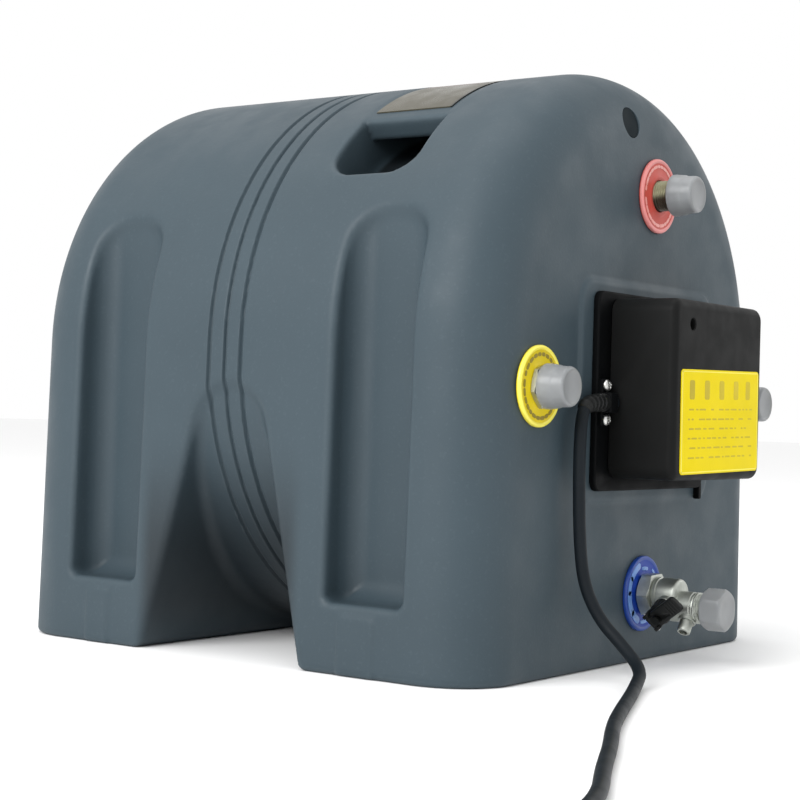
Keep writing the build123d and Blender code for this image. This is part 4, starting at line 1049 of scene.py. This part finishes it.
def nipple(name, port, end, mat, body="boiler"):
    """Threaded pipe: heights run out of the face, 88 mm deep inside to end mm in front."""
    px, pz = PORT[port]
    r, b = 10.48, 7.5
    out = [(b, -88.0), (r - 0.6, -88.0), (r - 0.05, -87.4), (r - 0.05, 2.0)]
    h = 2.2
    while h < end - 0.9:
        out.append((r - 0.05, h))
        h += 0.26
    out += [(r - 0.1, end - 0.85), (r - 0.75, end), (b + 0.5, end), (b, end - 0.5)]
    return lathe(name, face_point(px, pz), (0, -1, 0), out, mat, 72, 40.0, radius_fn=thread_r(r - 0.05, 0.9, 1.814, 2.6, end - 0.5))


hot_pipe = nipple("hot_pipe", "hot", 30.0, M["aged_brass_shaded"])
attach(hot_pipe, "boiler")
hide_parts("hot_nipple")
cold_pipe = nipple("cold_pipe", "cold", 12.0, M["nickel"])
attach(cold_pipe, "boiler")
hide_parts("cold_nipple")
side_pipes = joined("side_pipes", [nipple("sp1", "left", 23.0, M["nickel"]), nipple("sp2", "right", 25.0, M["nickel"])])
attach(side_pipes, "boiler")
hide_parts("side_nipples")


def arc_bar(port, r0, r1, a0, a1, h0, h1, mat, n=None):
    """Raised curved bar on a rosette, angles in degrees."""
    px, pz = PORT[port]
    n = n or max(3, int(abs(a1 - a0) / 3))
    outline = []
    rm, w = (r0 + r1) / 2, (r1 - r0) / 2
    for i in range(n + 1):
        a = math.radians(a0 + (a1 - a0) * i / n)
        outline.append((r1 * math.cos(a), r1 * math.sin(a)))
    for i in range(1, 5):
        a, q = math.radians(a1), math.pi * i / 5
        cx, cy = rm * math.cos(a), rm * math.sin(a)
        outline.append((cx + w * (math.cos(q) * math.cos(a) - math.sin(q) * math.sin(a)), cy + w * (math.cos(q) * math.sin(a) + math.sin(q) * math.cos(a))))
    for i in range(n, -1, -1):
        a = math.radians(a0 + (a1 - a0) * i / n)
        outline.append((r0 * math.cos(a), r0 * math.sin(a)))
    for i in range(1, 5):
        a, q = math.radians(a0), math.pi + math.pi * i / 5
        cx, cy = rm * math.cos(a), rm * math.sin(a)
        outline.append((cx + w * (math.cos(q) * math.cos(a) - math.sin(q) * math.sin(a)), cy + w * (math.cos(q) * math.sin(a) + math.sin(q) * math.cos(a))))
    cx = sum(p[0] for p in outline) / len(outline)
    cy = sum(p[1] for p in outline) / len(outline)
    rings = [(outline, h0), (outline, h1 - 0.08), ([(cx + (p[0] - cx) * 0.985, cy + (p[1] - cy) * 0.985) for p in outline], h1)]
    return loft("bar", face_place(px, pz), rings, mat, sharp=60.0)


def rosette(name, port, main, rim, mark, bars):
    px, pz = PORT[port]
    prof = [(10.8, 0.0), (24.9, 0.0), (25.4, 0.4), (25.5, 1.0), (25.45, 2.2), (25.1, 2.85), (24.5, 3.15), (23.9, 3.2), (23.2, 3.05), (22.7, 2.75), (22.35, 2.6),
            (14.6, 2.6), (14.2, 2.75), (13.7, 3.0), (13.2, 3.1), (11.5, 3.1), (11.05, 3.0), (10.8, 2.7)]
    disc = lathe(name + "_disc", face_point(px, pz), (0, -1, 0), prof, main, 96, 50.0)
    disc.data.materials.append(rim)
    c = Vector(face_point(px, pz)) * MM
    for p in disc.data.polygons:
        q = p.center - c
        if math.hypot(q.x, q.z) > 0.0228 and q.y < -0.0012:
            p.material_index = 1
    parts = [disc]
    for r0, r1, a0, a1 in bars:
        parts.append(arc_bar(port, r0, r1, a0, a1, 2.3, 2.85, mark))
    return joined(name, parts)


def ticks(seed, r0, r1, lo, hi, a_from, a_to, gap):
    """Generic bars of uneven length round a ring."""
    rnd = random.Random(seed)
    out, a = [], a_from
    while a < a_to:
        l = rnd.uniform(lo, hi)
        out.append((r0, r1, a, min(a + l, a_to)))
        a += l + gap
    return out


hot_disc = rosette("hot_disc", "hot", M["red"], M["red_rim"], M["red_mark"], ticks(3, 19.2, 21.3, 5.0, 13.0, 8.0, 172.0, 6.0) + ticks(5, 19.2, 21.3, 5.0, 13.0, 190.0, 350.0, 6.0))
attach(hot_disc, "boiler")
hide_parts("hot_rosette")
cold_disc = rosette("cold_disc", "cold", M["blue"], M["blue_rim"], M["blue_mark"], [(17.8, 22.4, 112.0, 146.0), (18.4, 22.4, 149.0, 176.0), (17.2, 22.4, 179.0, 218.0), (16.6, 21.6, 222.0, 246.0), (15.8, 18.2, 76.0, 98.0), (18.4, 20.2, 20.0, 52.0), (18.0, 20.4, 262.0, 292.0)])
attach(cold_disc, "boiler")
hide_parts("cold_rosette")
side_discs = joined("side_discs", [
    rosette("yd1", "left", M["yellow"], M["yellow_rim"], M["yellow_mark"], ticks(4, 18.6, 21.0, 4.0, 8.0, 40.0, 160.0, 9.0) + ticks(6, 18.6, 21.0, 4.0, 9.0, 172.0, 330.0, 8.0)),
    rosette("yd2", "right", M["yellow"], M["yellow_rim"], M["yellow_mark"], ticks(14, 18.6, 21.0, 4.0, 8.0, 20.0, 160.0, 9.0) + ticks(16, 18.6, 21.0, 4.0, 9.0, 182.0, 340.0, 8.0)),
])
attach(side_discs, "boiler")
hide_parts("side_rosettes")


def hex_nut(name, origin, axis, af, h0, h1, bore, mat, phase=0.0, chamfer=0.7, seg=96, sides=6):
    """Hexagon prism with turned chamfers and a bore; a solid bar when bore is 0."""
    corner = af / 2 / math.cos(math.pi / sides)

    def fn(r, h, t):
        if bore and r <= bore + 0.6:
            return r
        s = 2 * math.pi / sides
        q = ((t + phase) % s) - s / 2
        flat = af / 2 / math.cos(q)
        e = 0.0
        if h < h0 + chamfer:
            e = (h0 + chamfer - h)
        elif h > h1 - chamfer:
            e = (h - h1 + chamfer)
        return min(flat, corner - e * (corner - af / 2 + 0.25) / chamfer)
    prof = []
    n = 5
    if bore:
        prof.append((bore, h0))
    else:
        prof.append((0, h0))
    for i in range(n + 1):
        prof.append((100.0, h0 + chamfer * i / n))
    for i in range(n + 1):
        prof.append((100.0, h1 - chamfer + chamfer * i / n))
    prof.append((bore, h1) if bore else (0, h1))
    return lathe(name, origin, axis, prof, mat, seg, 22.0, radius_fn=fn)


nuts = joined("side_collars", [hex_nut("n1", face_point(*PORT[p]), (0, -1, 0), 25.0, 3.15, 6.8, 10.5, M["nickel"], 0.26 + i) for i, p in enumerate(("left", "right"))])
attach(nuts, "boiler")
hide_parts("side_port_nuts")


def push_cap(name, port, end, body, node):
    """Thin-walled push-on cap over the pipe's end."""
    px, pz = PORT[port]
    top = end + 2.0
    base = top - 18.0
    ri = 10.62
    loop = [(ri, base + 0.3), (ri + 0.3, base), (13.8, base), (14.2, base + 0.4), (14.2, base + 2.6), (14.0, base + 3.6), (13.7, base + 6.0), (13.4, base + 8.6), (13.0, base + 9.6), (12.75, base + 10.2),
            (12.6, top - 3.0), (12.5, top - 1.9), (12.15, top - 0.8), (11.5, top - 0.2), (10.9, top), (10.2, top - 0.12), (9.7, top - 0.55), (9.3, top - 0.7), (0.0, top - 0.72),
            (0.0, top - 2.0), (ri - 0.4, top - 2.0), (ri, top - 2.5)]
    ob = lathe_shell(name, face_point(px, pz), (0, -1, 0), loop, M["cap"], 80, 40.0)
    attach(ob, body)
    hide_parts(node)
    return ob


def lathe_shell(name, origin, axis, loop, mat, seg=80, sharp=38.0, radius_fn=None, ref=None):
    """Closed turned cup: the loop runs outside to the axis and back inside, and closes on itself."""
    u, v, w = basis(axis, ref)
    o = Vector(origin)
    verts, faces, rings = [], [], []
    for r, h in loop:
        if r < 1e-6:
            rings.append([len(verts)])
            verts.append(o + w * h)
            continue
        ring = []
        for i in range(seg):
            t = 2 * math.pi * i / seg
            rr = radius_fn(r, h, t) if radius_fn else r
            ring.append(len(verts))
            verts.append(o + w * h + (u * math.cos(t) + v * math.sin(t)) * rr)
        rings.append(ring)
    n = len(rings)
    for i in range(n):
        a, b = rings[i], rings[(i + 1) % n]
        if len(a) == 1 and len(b) == 1:
            continue
        for j in range(seg):
            k3 = (j + 1) % seg
            if len(a) == 1:
                faces.append((a[0], b[k3], b[j]))
            elif len(b) == 1:
                faces.append((a[j], a[k3], b[0]))
            else:
                faces.append((a[j], a[k3], b[k3], b[j]))
    return mesh_object(name, [p * MM for p in verts], faces, mat, sharp)


push_cap("hot_end_cap", "hot", 30.0, "cap_on_hot", "hot_cap")
push_cap("left_end_cap", "left", 23.0, "cap_on_left", "left_cap")
push_cap("right_end_cap", "right", 25.0, "cap_on_right", "right_cap")

# ------------------------------------------------------------------ safety valve
VX, VZ, OUT_Z = 7.5, 46.4, 40.0
DIR_R = Vector((-0.87, 0.0, -0.493)).normalized()
DIR_D = Vector((-0.6, 0.0, -0.8)).normalized()
O_R = Vector((VX, YF - 25.0, VZ))
O_D = Vector((VX, YF - 38.5, OUT_Z))
valve = []
valve.append(hex_nut("v_hex", face_point(VX, VZ), (0, -1, 0), 27.0, 4.2, 13.2, 10.5, M["nickel"], 0.5, 0.9))
valve.append(lathe("v_body", face_point(VX, VZ), (0, -1, 0), [(6.5, 13.1), (11.2, 13.1), (11.7, 13.6), (12.0, 14.2), (12.0, 16.2), (11.3, 16.7), (11.3, 17.6), (12.0, 18.1), (12.0, 28.6), (11.7, 29.8), (11.0, 30.7), (9.8, 31.15), (4.0, 31.2), (4.0, 28.3), (6.5, 28.2)], M["nickel"], 72, 36.0))
pr_ = [(6.0, 24.5), (10.3, 24.5), (10.45, 30.0), (10.45, 40.6), (9.9, 41.2), (9.9, 42.2)]
h = 42.6
while h < 57.2:
    pr_.append((10.43, h))
    h += 0.26
pr_ += [(10.3, 57.4), (9.7, 58.0), (6.4, 58.0), (6.0, 57.6)]
valve.append(lathe("v_out", face_point(VX, OUT_Z), (0, -1, 0), pr_, M["nickel"], 72, 40.0, radius_fn=thread_r(10.43, 0.85, 1.814, 42.6, 57.6)))
valve.append(lathe("v_relief", O_R, DIR_R, [(0, 6.0), (6.9, 6.0), (7.0, 7.0), (7.0, 13.3), (6.7, 13.65), (0, 13.65)], M["nickel"], 64, 36.0))
valve.append(lathe("v_drain", O_D, DIR_D, [(0, 6.5), (5.9, 6.5), (6.0, 7.0), (6.0, 11.2), (5.7, 11.5), (4.5, 11.5), (4.5, 18.7), (4.3, 19.2), (3.9, 19.5), (2.8, 19.5), (2.8, 13.5), (0, 13.5)], M["nickel"], 48, 36.0))
safety_valve = joined("safety_valve", valve)
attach(safety_valve, "boiler")
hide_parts("valve_body")

LEVER_TURN = math.radians(38.0)
RX = Vector((DIR_R.z * math.sin(LEVER_TURN), -math.cos(LEVER_TURN), -DIR_R.x * math.sin(LEVER_TURN))).normalized()
RY = DIR_R.cross(RX)


def relief_place(x, y, t):
    p = O_R + RX * x + RY * y + DIR_R * t
    return (p.x, p.y, p.z)


def knurl(r, h, t):
    if r > 7.2 and 14.6 < h < 20.2:
        return r - 0.4 * (0.5 + 0.5 * math.cos(16 * t)) ** 2
    return r


bon = [lathe("b_knob", O_R, DIR_R, [(5.2, 13.7), (7.0, 13.7), (7.4, 14.2), (7.4, 14.5), (7.4, 14.7), (7.4, 17.0), (7.4, 20.1), (7.4, 20.3), (7.4, 22.2), (6.9, 23.0), (6.4, 23.2), (1.45, 23.2), (1.45, 21.0), (5.2, 21.0)], M["black"], 96, 30.0, radius_fn=knurl)]
bracket = loft("b_bracket", lambda x, y, t: relief_place(x - 3.2, y, t), [(rrect(10.2, 13.2, 1.9, 5), 20.7), (rrect(10.4, 13.4, 2.0, 5), 20.9), (rrect(10.4, 13.4, 2.0, 5), 22.9), (rrect(10.0, 13.0, 1.8, 5), 23.15)], M["black"], sharp=40.0)
apply_boolean(bracket, lathe("b_way", O_R, DIR_R, [(0, 20.0), (1.5, 20.0), (1.5, 24.0), (0, 24.0)], None, 32))
bon.append(bracket)
for s in (-1, 1):
    rings = []
    for w, l, t in ((2.4, 4.2, 22.8), (2.6, 4.4, 23.0), (2.6, 4.4, 27.4), (2.2, 4.0, 28.0), (1.6, 3.4, 28.2)):
        rings.append((rrect(l, w, 0.5, 3), t))
    bon.append(loft("b_ear", lambda x, y, t, s=s: relief_place(x - 6.0, y + s * 5.4, t), rings, M["black"], sharp=40.0))
bonnet = joined("relief_cap", bon)
if not bonnet.data.materials:
    bonnet.data.materials.append(M["black"])
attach(bonnet, "boiler")
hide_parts("relief_bonnet")


# lever: a bar that narrows between the ears of its pin, a slot round the spindle, and a barrel on the pin
def lever_outline(e, n=7):
    pts = []

    def corner(cx, cy, r, a0):
        for i in range(n):
            a = math.radians(a0 + 90.0 * i / (n - 1))
            pts.append((cx + (r - e) * math.cos(a), cy + (r - e) * math.sin(a)))
    corner(23.0 - 3.0, -5.7 + 3.0, 3.0, -90.0)
    corner(23.0 - 3.0, 5.7 - 3.0, 3.0, 0.0)
    corner(-2.0 + 1.5, 5.7 - 1.5, 1.5, 90.0)
    pts.append((-2.0 + e, 4.0 - e))
    corner(-8.0 + 2.0, 4.0 - 2.0, 2.0, 90.0)
    corner(-8.0 + 2.0, -4.0 + 2.0, 2.0, 180.0)
    pts.append((-2.0 + e, -4.0 + e))
    corner(-2.0 + 1.5, -5.7 + 1.5, 1.5, 180.0)
    return pts


lev = loft("l_plate", relief_place, [(lever_outline(0.35), 24.6), (lever_outline(0.0), 24.9), (lever_outline(0.0), 27.0), (lever_outline(0.35), 27.4), (lever_outline(0.7), 27.5)], M["black"], sharp=40.0)
slot_cut = loft("l_slot", relief_place, [(rrect(6.2, 3.8, 1.88, 8), 23.7), (rrect(6.2, 3.8, 1.88, 8), 28.7)], None)
apply_boolean(lev, slot_cut)
barrel = lathe("l_barrel", Vector(relief_place(-6.0, -3.9, 26.0)), RY, [(1.06, 0), (2.0, 0), (2.3, 0.3), (2.3, 7.5), (2.0, 7.8), (1.06, 7.8)], M["black"], 40)
ribs = []
for i in range(4):
    ribs.append(loft("l_rib", lambda x, y, t, i=i: relief_place(x + 12.5 + 2.4 * i, y, t), [(rrect(1.3, 9.4, 0.5, 3), 27.2), (rrect(1.3, 9.4, 0.5, 3), 27.75), (rrect(0.8, 8.8, 0.3, 3), 28.0)], M["black"], sharp=40.0))
lever = joined("test_lever", [lev, barrel] + ribs)
if not lever.data.materials:
    lever.data.materials.append(M["black"])
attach(lever, "lever")
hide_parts("relief_lever")

# hexagonal cap on the outlet, a shell with rounded corners
BAF = 25.2


def big_hex(r, h, t):
    q = ((t + math.radians(30.0)) % (math.pi / 3)) - math.pi / 6
    flat = BAF / 2 / math.cos(q)
    lim = 14.2 - max(0.0, 1.4 - (64.3 - h), 1.4 - (h - 49.6))
    soft = -math.log(math.exp(-flat * 3.0) + math.exp(-lim * 3.0)) / 3.0
    return soft * (r - 99)


loop = [(10.62, 49.6)]
for hh in (49.6, 49.95, 50.3, 50.65, 51.0, 54.0, 58.0, 61.5, 62.9, 63.25, 63.6, 63.95):
    loop.append((100.0, hh))
loop += [(99.97, 64.15), (99.93, 64.3), (99.80, 64.3), (99.72, 64.05), (0.0, 64.05), (0.0, 62.3), (10.2, 62.3), (10.62, 61.9)]
cold_end_cap = lathe_shell("cold_end_cap", face_point(VX, OUT_Z), (0, -1, 0), loop, M["cap"], 120, 35.0, radius_fn=lambda r, h, t: big_hex(r, h, t) if r > 90 else r, ref=(1, 0, 0))
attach(cold_end_cap, "cap_on_cold")
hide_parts("cold_cap")

# ------------------------------------------------------------------ control box
BX0, BX1, BZ0, BZ1 = -71.5, 85.0, 117.0, 247.0
CX0, CX1, CZ0, CZ1 = -56.0, 77.0, 125.5, 243.0
BXC, BZC = (BX0 + BX1) / 2, (BZ0 + BZ1) / 2
CXC, CZC = (CX0 + CX1) / 2, (CZ0 + CZ1) / 2
CW, CH = CX1 - CX0, CZ1 - CZ0
base = pillow_box("control_base", face_place(BXC, BZC), BX1 - BX0, BZ1 - BZ0, 7.0, 2.0, 6.5, 1.3, M["box_side"], sharp=45.0)
apply_boolean(base, cylinder("cb", face_point(6.0, 182.0, 0.0), (0, -1, 0), 40.0, 12.0, 96))
wall_out, wall_in = (CW - 5.6, CH - 5.6), (CW - 9.2, CH - 9.2)
wall = loft("b_wall", face_place(CXC, CZC), [
    (rrect(wall_out[0], wall_out[1], 6.5), 6.3), (rrect(wall_out[0], wall_out[1], 6.5), 15.0), (rrect(wall_out[0] - 0.8, wall_out[1] - 0.8, 6.1), 15.4),
    (rrect(wall_in[0] + 0.8, wall_in[1] + 0.8, 5.4), 15.4), (rrect(wall_in[0], wall_in[1], 5.0), 15.0), (rrect(wall_in[0], wall_in[1], 5.0), 6.3)], M["box_side"], closed=True, sharp=40.0)
apply_boolean(wall, cylinder("cw", (-80.0, YF - 10.5, 174.5), (1, 0, 0), 4.25, 40.0, 48))
tab = pillow_box("b_tab", face_place(82.0, 115.0), 4.0, 12.0, 1.2, 2.0, 6.45, 0.6, M["box_side"], 0.3, 4, sharp=45.0)
boss = lathe("b_boss", face_point(-31.5, 227.0), (0, -1, 0), [(1.6, 6.3), (5.4, 6.3), (4.7, 7.2), (4.5, 8.0), (4.5, 40.2), (4.2, 40.5), (1.6, 40.5)], M["box_side"], 48)
control_base = joined("control_box_base", [base, wall, tab, boss])
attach(control_base, "boiler")
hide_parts("box_base")


def cover_rings(grow, d0, d1, fil, rc, n=7, lip=0.5):
    w, h2 = CW + 2 * grow, CH + 2 * grow
    rings = [(rrect(w - 2 * lip, h2 - 2 * lip, rc - lip), d0), (rrect(w - 0.3 * lip, h2 - 0.3 * lip, rc), d0 + lip * 0.6), (rrect(w, h2, rc), d0 + lip * 1.4)]
    for i in range(n + 1):
        a = math.pi / 2 * i / n
        e = fil * (1 - math.cos(a))
        rings.append((rrect(w - 2 * e, h2 - 2 * e, max(0.6, rc - e)), d1 - fil + fil * math.sin(a)))
    return rings


outer = cover_rings(0.0, 6.9, 53.5, 5.2, 9.0)
inner = []
for i in range(4, -1, -1):
    a = math.pi / 2 * i / 4
    e = 3.0 * (1 - math.cos(a))
    inner.append((rrect(CW - 5 - 2 * e, CH - 5 - 2 * e, max(0.6, 6.8 - e)), 51.0 - 3.0 + 3.0 * math.sin(a)))
inner.append((rrect(CW - 5, CH - 5, 6.8), 6.9))
# one closed skin: outer side and front, then the inside and its front, joined round the rim
n_pts = len(outer[0][0])
verts, faces = [], []
place = face_place(CXC, CZC)
for pts, hh in outer:
    for x, y in pts:
        verts.append(Vector(place(x, y, hh)) * MM)
o_n = len(outer)
for pts, hh in inner:
    for x, y in pts:
        verts.append(Vector(place(x, y, hh)) * MM)
i_n = len(inner)
for i in range(o_n - 1):
    for j in range(n_pts):
        k4 = (j + 1) % n_pts
        faces.append((i * n_pts + j, i * n_pts + k4, (i + 1) * n_pts + k4, (i + 1) * n_pts + j))
faces.append(tuple(range((o_n - 1) * n_pts, o_n * n_pts)))
b0 = o_n * n_pts
faces.append(tuple(range(b0 + n_pts - 1, b0 - 1, -1)))
for i in range(i_n - 1):
    for j in range(n_pts):
        k4 = (j + 1) % n_pts
        faces.append((b0 + i * n_pts + j, b0 + (i + 1) * n_pts + j, b0 + (i + 1) * n_pts + k4, b0 + i * n_pts + k4)[::-1])
last = b0 + (i_n - 1) * n_pts
for j in range(n_pts):
    k4 = (j + 1) % n_pts
    faces.append((last + j, last + k4, k4, j))
cover = mesh_object("control_box_cover", verts, faces, M["box"], 40.0)
tube = lathe("c_tube", face_point(-31.5, 227.0), (0, -1, 0), [(0, 40.8), (5.5, 40.8), (5.5, 52.0), (0, 52.0)], M["box"], 64)
apply_boolean(cover, tube, "UNION")
apply_boolean(cover, lathe("c_hole", face_point(-31.5, 227.0), (0, -1, 0), [(0, 39.0), (2.0, 39.0), (2.0, 44.0), (3.9, 44.0), (3.9, 52.9), (4.5, 53.5), (4.9, 54.5), (0, 54.5)], M["box"], 64))
notch = loft("c_notch", lambda x, y, h2: (-58.5 + h2, YF - 8.9 - x, 174.5 + y), [(rrect(9.2, 12.0, 1.0), 0.0), (rrect(9.2, 12.0, 1.0), 5.0)], M["box"])
apply_boolean(cover, notch)
wrapped = cover.data
bm = bmesh.new()
bm.from_mesh(wrapped)
for f in bm.faces:
    f.smooth = True
for e in bm.edges:
    e.smooth = len(e.link_faces) == 2 and e.calc_face_angle(0.0) < math.radians(34)
bm.to_mesh(wrapped)
bm.free()
wrapped.materials.clear()
wrapped.materials.append(M["box"])
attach(cover, "boiler")
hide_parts("box_cover")

# blank yellow plate with a border and ruled fields
tilt = math.radians(1.0)
pl_ = face_place(12.0, 164.5, tilt)
film = loft("film", pl_, [(rrect(117.6, 67.6, 2.8), 53.5), (rrect(118.0, 68.0, 3.0), 53.6), (rrect(118.0, 68.0, 3.0), 53.85), (rrect(117.7, 67.7, 2.85), 53.97), (rrect(117.0, 67.0, 2.5), 54.0)], M["label"], sharp=60.0)
marks = [film]


def strip(x0, x1, y0, y1, mat, top=54.05, r=0.35):
    cx, cy, w, h2 = (x0 + x1) / 2, (y0 + y1) / 2, x1 - x0, y1 - y0
    return loft("strip", lambda x, y, t: pl_(x + cx, y + cy, t), [(rrect(w, h2, r, 2), 53.9), (rrect(w, h2, r, 2), top)], mat, sharp=60.0)


for x0, x1, y0, y1 in ((-57.6, 57.6, 32.3, 33.0), (-57.6, 57.6, -33.0, -32.3), (-58.0, -56.6, -32.8, 32.8), (57.1, 57.8, -32.8, 32.8)):
    marks.append(strip(x0, x1, y0, y1, M["label_edge"]))
# blank blocks above and generic bars in rows below, with no lettering
for x0, x1 in ((-47.0, -39.5), (-25.0, -17.5), (-3.0, 4.5), (19.0, 26.5), (38.0, 45.0)):
    marks.append(strip(x0, x1, 14.5, 27.0, M["label_line"], r=1.6))
rnd = random.Random(12)
for y in (8.0, 1.6, -4.6, -10.8, -17.0, -23.4):
    x = -49.0 + rnd.uniform(0.0, 3.0)
    while x < 46.0:
        w = rnd.uniform(2.6, 9.5)
        marks.append(strip(x, min(x + w, 49.0), y - 0.55, y + 0.55, M["label_line"], r=0.5))
        x += w + rnd.choice((1.6, 2.2, 3.0, 7.5))
plate = joined("blank_plate", marks)
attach(plate, "boiler")
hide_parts("yellow_plate")

# cord clamp with two domed screws
cl = pillow_box("cord_bridge", face_place(-65.3, 174.5), 10.4, 31.0, 2.0, 6.5, 9.7, 0.8, M["box_side"], 0.2, 5, sharp=45.0)
apply_boolean(cl, pillow_box("cord_hump", face_place(-65.3, 174.5), 10.4, 13.0, 1.6, 6.6, 16.1, 1.4, M["box_side"], 0.2, 5, sharp=45.0), "UNION")
apply_boolean(cl, cylinder("cc", (-75.0, YF - 10.5, 174.5), (1, 0, 0), 4.05, 20.0, 48))
for s in (-1, 1):
    apply_boolean(cl, lathe("cs", face_point(-65.3, 174.5 + s * 11.0), (0, -1, 0), [(0, 6.0), (1.7, 6.0), (1.7, 12.0), (0, 12.0)], M["box_side"], 48))
cl.data.materials.clear()
cl.data.materials.append(M["box_side"])
for p in cl.data.polygons:
    p.use_smooth = False
bm = bmesh.new()
bm.from_mesh(cl.data)
for f in bm.faces:
    f.smooth = True
for e in bm.edges:
    e.smooth = len(e.link_faces) == 2 and e.calc_face_angle(0.0) < math.radians(34)
bm.to_mesh(cl.data)
bm.free()
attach(cl, "boiler")
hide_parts("cord_clamp")


def dome_screw(name, x, z, base_d, r, height, mat, turn=0.0):
    prof = [(0, base_d), (r - 0.25, base_d), (r, base_d + 0.25)]
    for i in range(1, 8):
        a = math.pi / 2 * i / 8
        prof.append((r * math.cos(a) ** 0.8, base_d + 0.3 + (height - 0.3) * math.sin(a)))
    prof.append((0, base_d + height))
    ob = lathe(name, face_point(x, z), (0, -1, 0), prof, mat, 56, 40.0)
    for k5 in range(2):
        a = turn + math.pi / 2 * k5
        c, s_ = math.cos(a), math.sin(a)
        cut = loft("x", lambda p, q, t, c=c, s_=s_: (x + p * c - q * s_, YF - t, z + p * s_ + q * c), [(rrect(r * 1.1, 0.8, 0.2, 2), base_d + height - 1.1), (rrect(r * 1.25, 1.0, 0.2, 2), base_d + height + 1.0)], None)
        apply_boolean(ob, cut)
    ob.data.materials.clear()
    ob.data.materials.append(mat)
    return ob


heads = []
for s in (-1, 1):
    z = 174.5 + s * 11.0
    heads.append(dome_screw("hd%d" % s, -65.3, z, 9.7, 4.1, 2.75, M["zinc"], 0.4 * s))
    heads.append(lathe("sh%d" % s, face_point(-65.3, z), (0, -1, 0), [(0, 6.6), (1.2, 6.6), (1.6, 7.2), (1.6, 9.9), (0, 9.9)], M["zinc"], 24))
screws = joined("clamp_screw_pair", heads)
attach(screws, "boiler")
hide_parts("clamp_screws")

# ------------------------------------------------------------------ floor, light
floor_mat = bpy.data.materials.new("floor_paper")
floor_mat.use_nodes = True
fb = floor_mat.node_tree.nodes["Principled BSDF"]
fb.inputs["Base Color"].default_value = (0.93, 0.93, 0.93, 1)
fb.inputs["Roughness"].default_value = 0.9
fb.inputs["Specular IOR Level"].default_value = 0.1
R_FLOOR = 14.0
bm = bmesh.new()
ring = [bm.verts.new((R_FLOOR * math.cos(2 * math.pi * i / 96), R_FLOOR * math.sin(2 * math.pi * i / 96), 0.0)) for i in range(96)]
bm.faces.new(ring)
fm = bpy.data.meshes.new("floor")
bm.to_mesh(fm)
bm.free()
floor = bpy.data.objects.new("floor", fm)
bpy.context.scene.collection.objects.link(floor)
fm.materials.append(floor_mat)

world = bpy.data.worlds.new("studio")
world.use_nodes = True
bg = world.node_tree.nodes["Background"]
bg.inputs["Color"].default_value = (1.0, 1.0, 1.0, 1)
bg.inputs["Strength"].default_value = 1.0
bpy.context.scene.world = world


def area(name, loc, target, size, power, color=(1, 1, 1)):
    data = bpy.data.lights.new(name, "AREA")
    data.shape = "RECTANGLE"
    data.size, data.size_y = size
    data.energy = power
    data.color = color
    ob = bpy.data.objects.new(name, data)
    bpy.context.scene.collection.objects.link(ob)
    ob.location = loc
    ob.rotation_euler = (Vector(target) - Vector(loc)).to_track_quat("-Z", "Y").to_euler()
    return ob


area("key_left", (-2.4, 0.1, 1.5), (0, 0.03, 0.2), (1.8, 1.4), 60.0)
area("top_soft", (-0.3, 0.2, 2.6), (0, 0.03, 0.2), (2.2, 2.2), 21.0)
area("front_right", (2.2, -1.6, 1.3), (0.1, -0.1, 0.2), (1.2, 1.2), 7.0)
bpy.context.scene.view_settings.view_transform = "Standard"
bpy.context.scene.view_settings.look = "None"
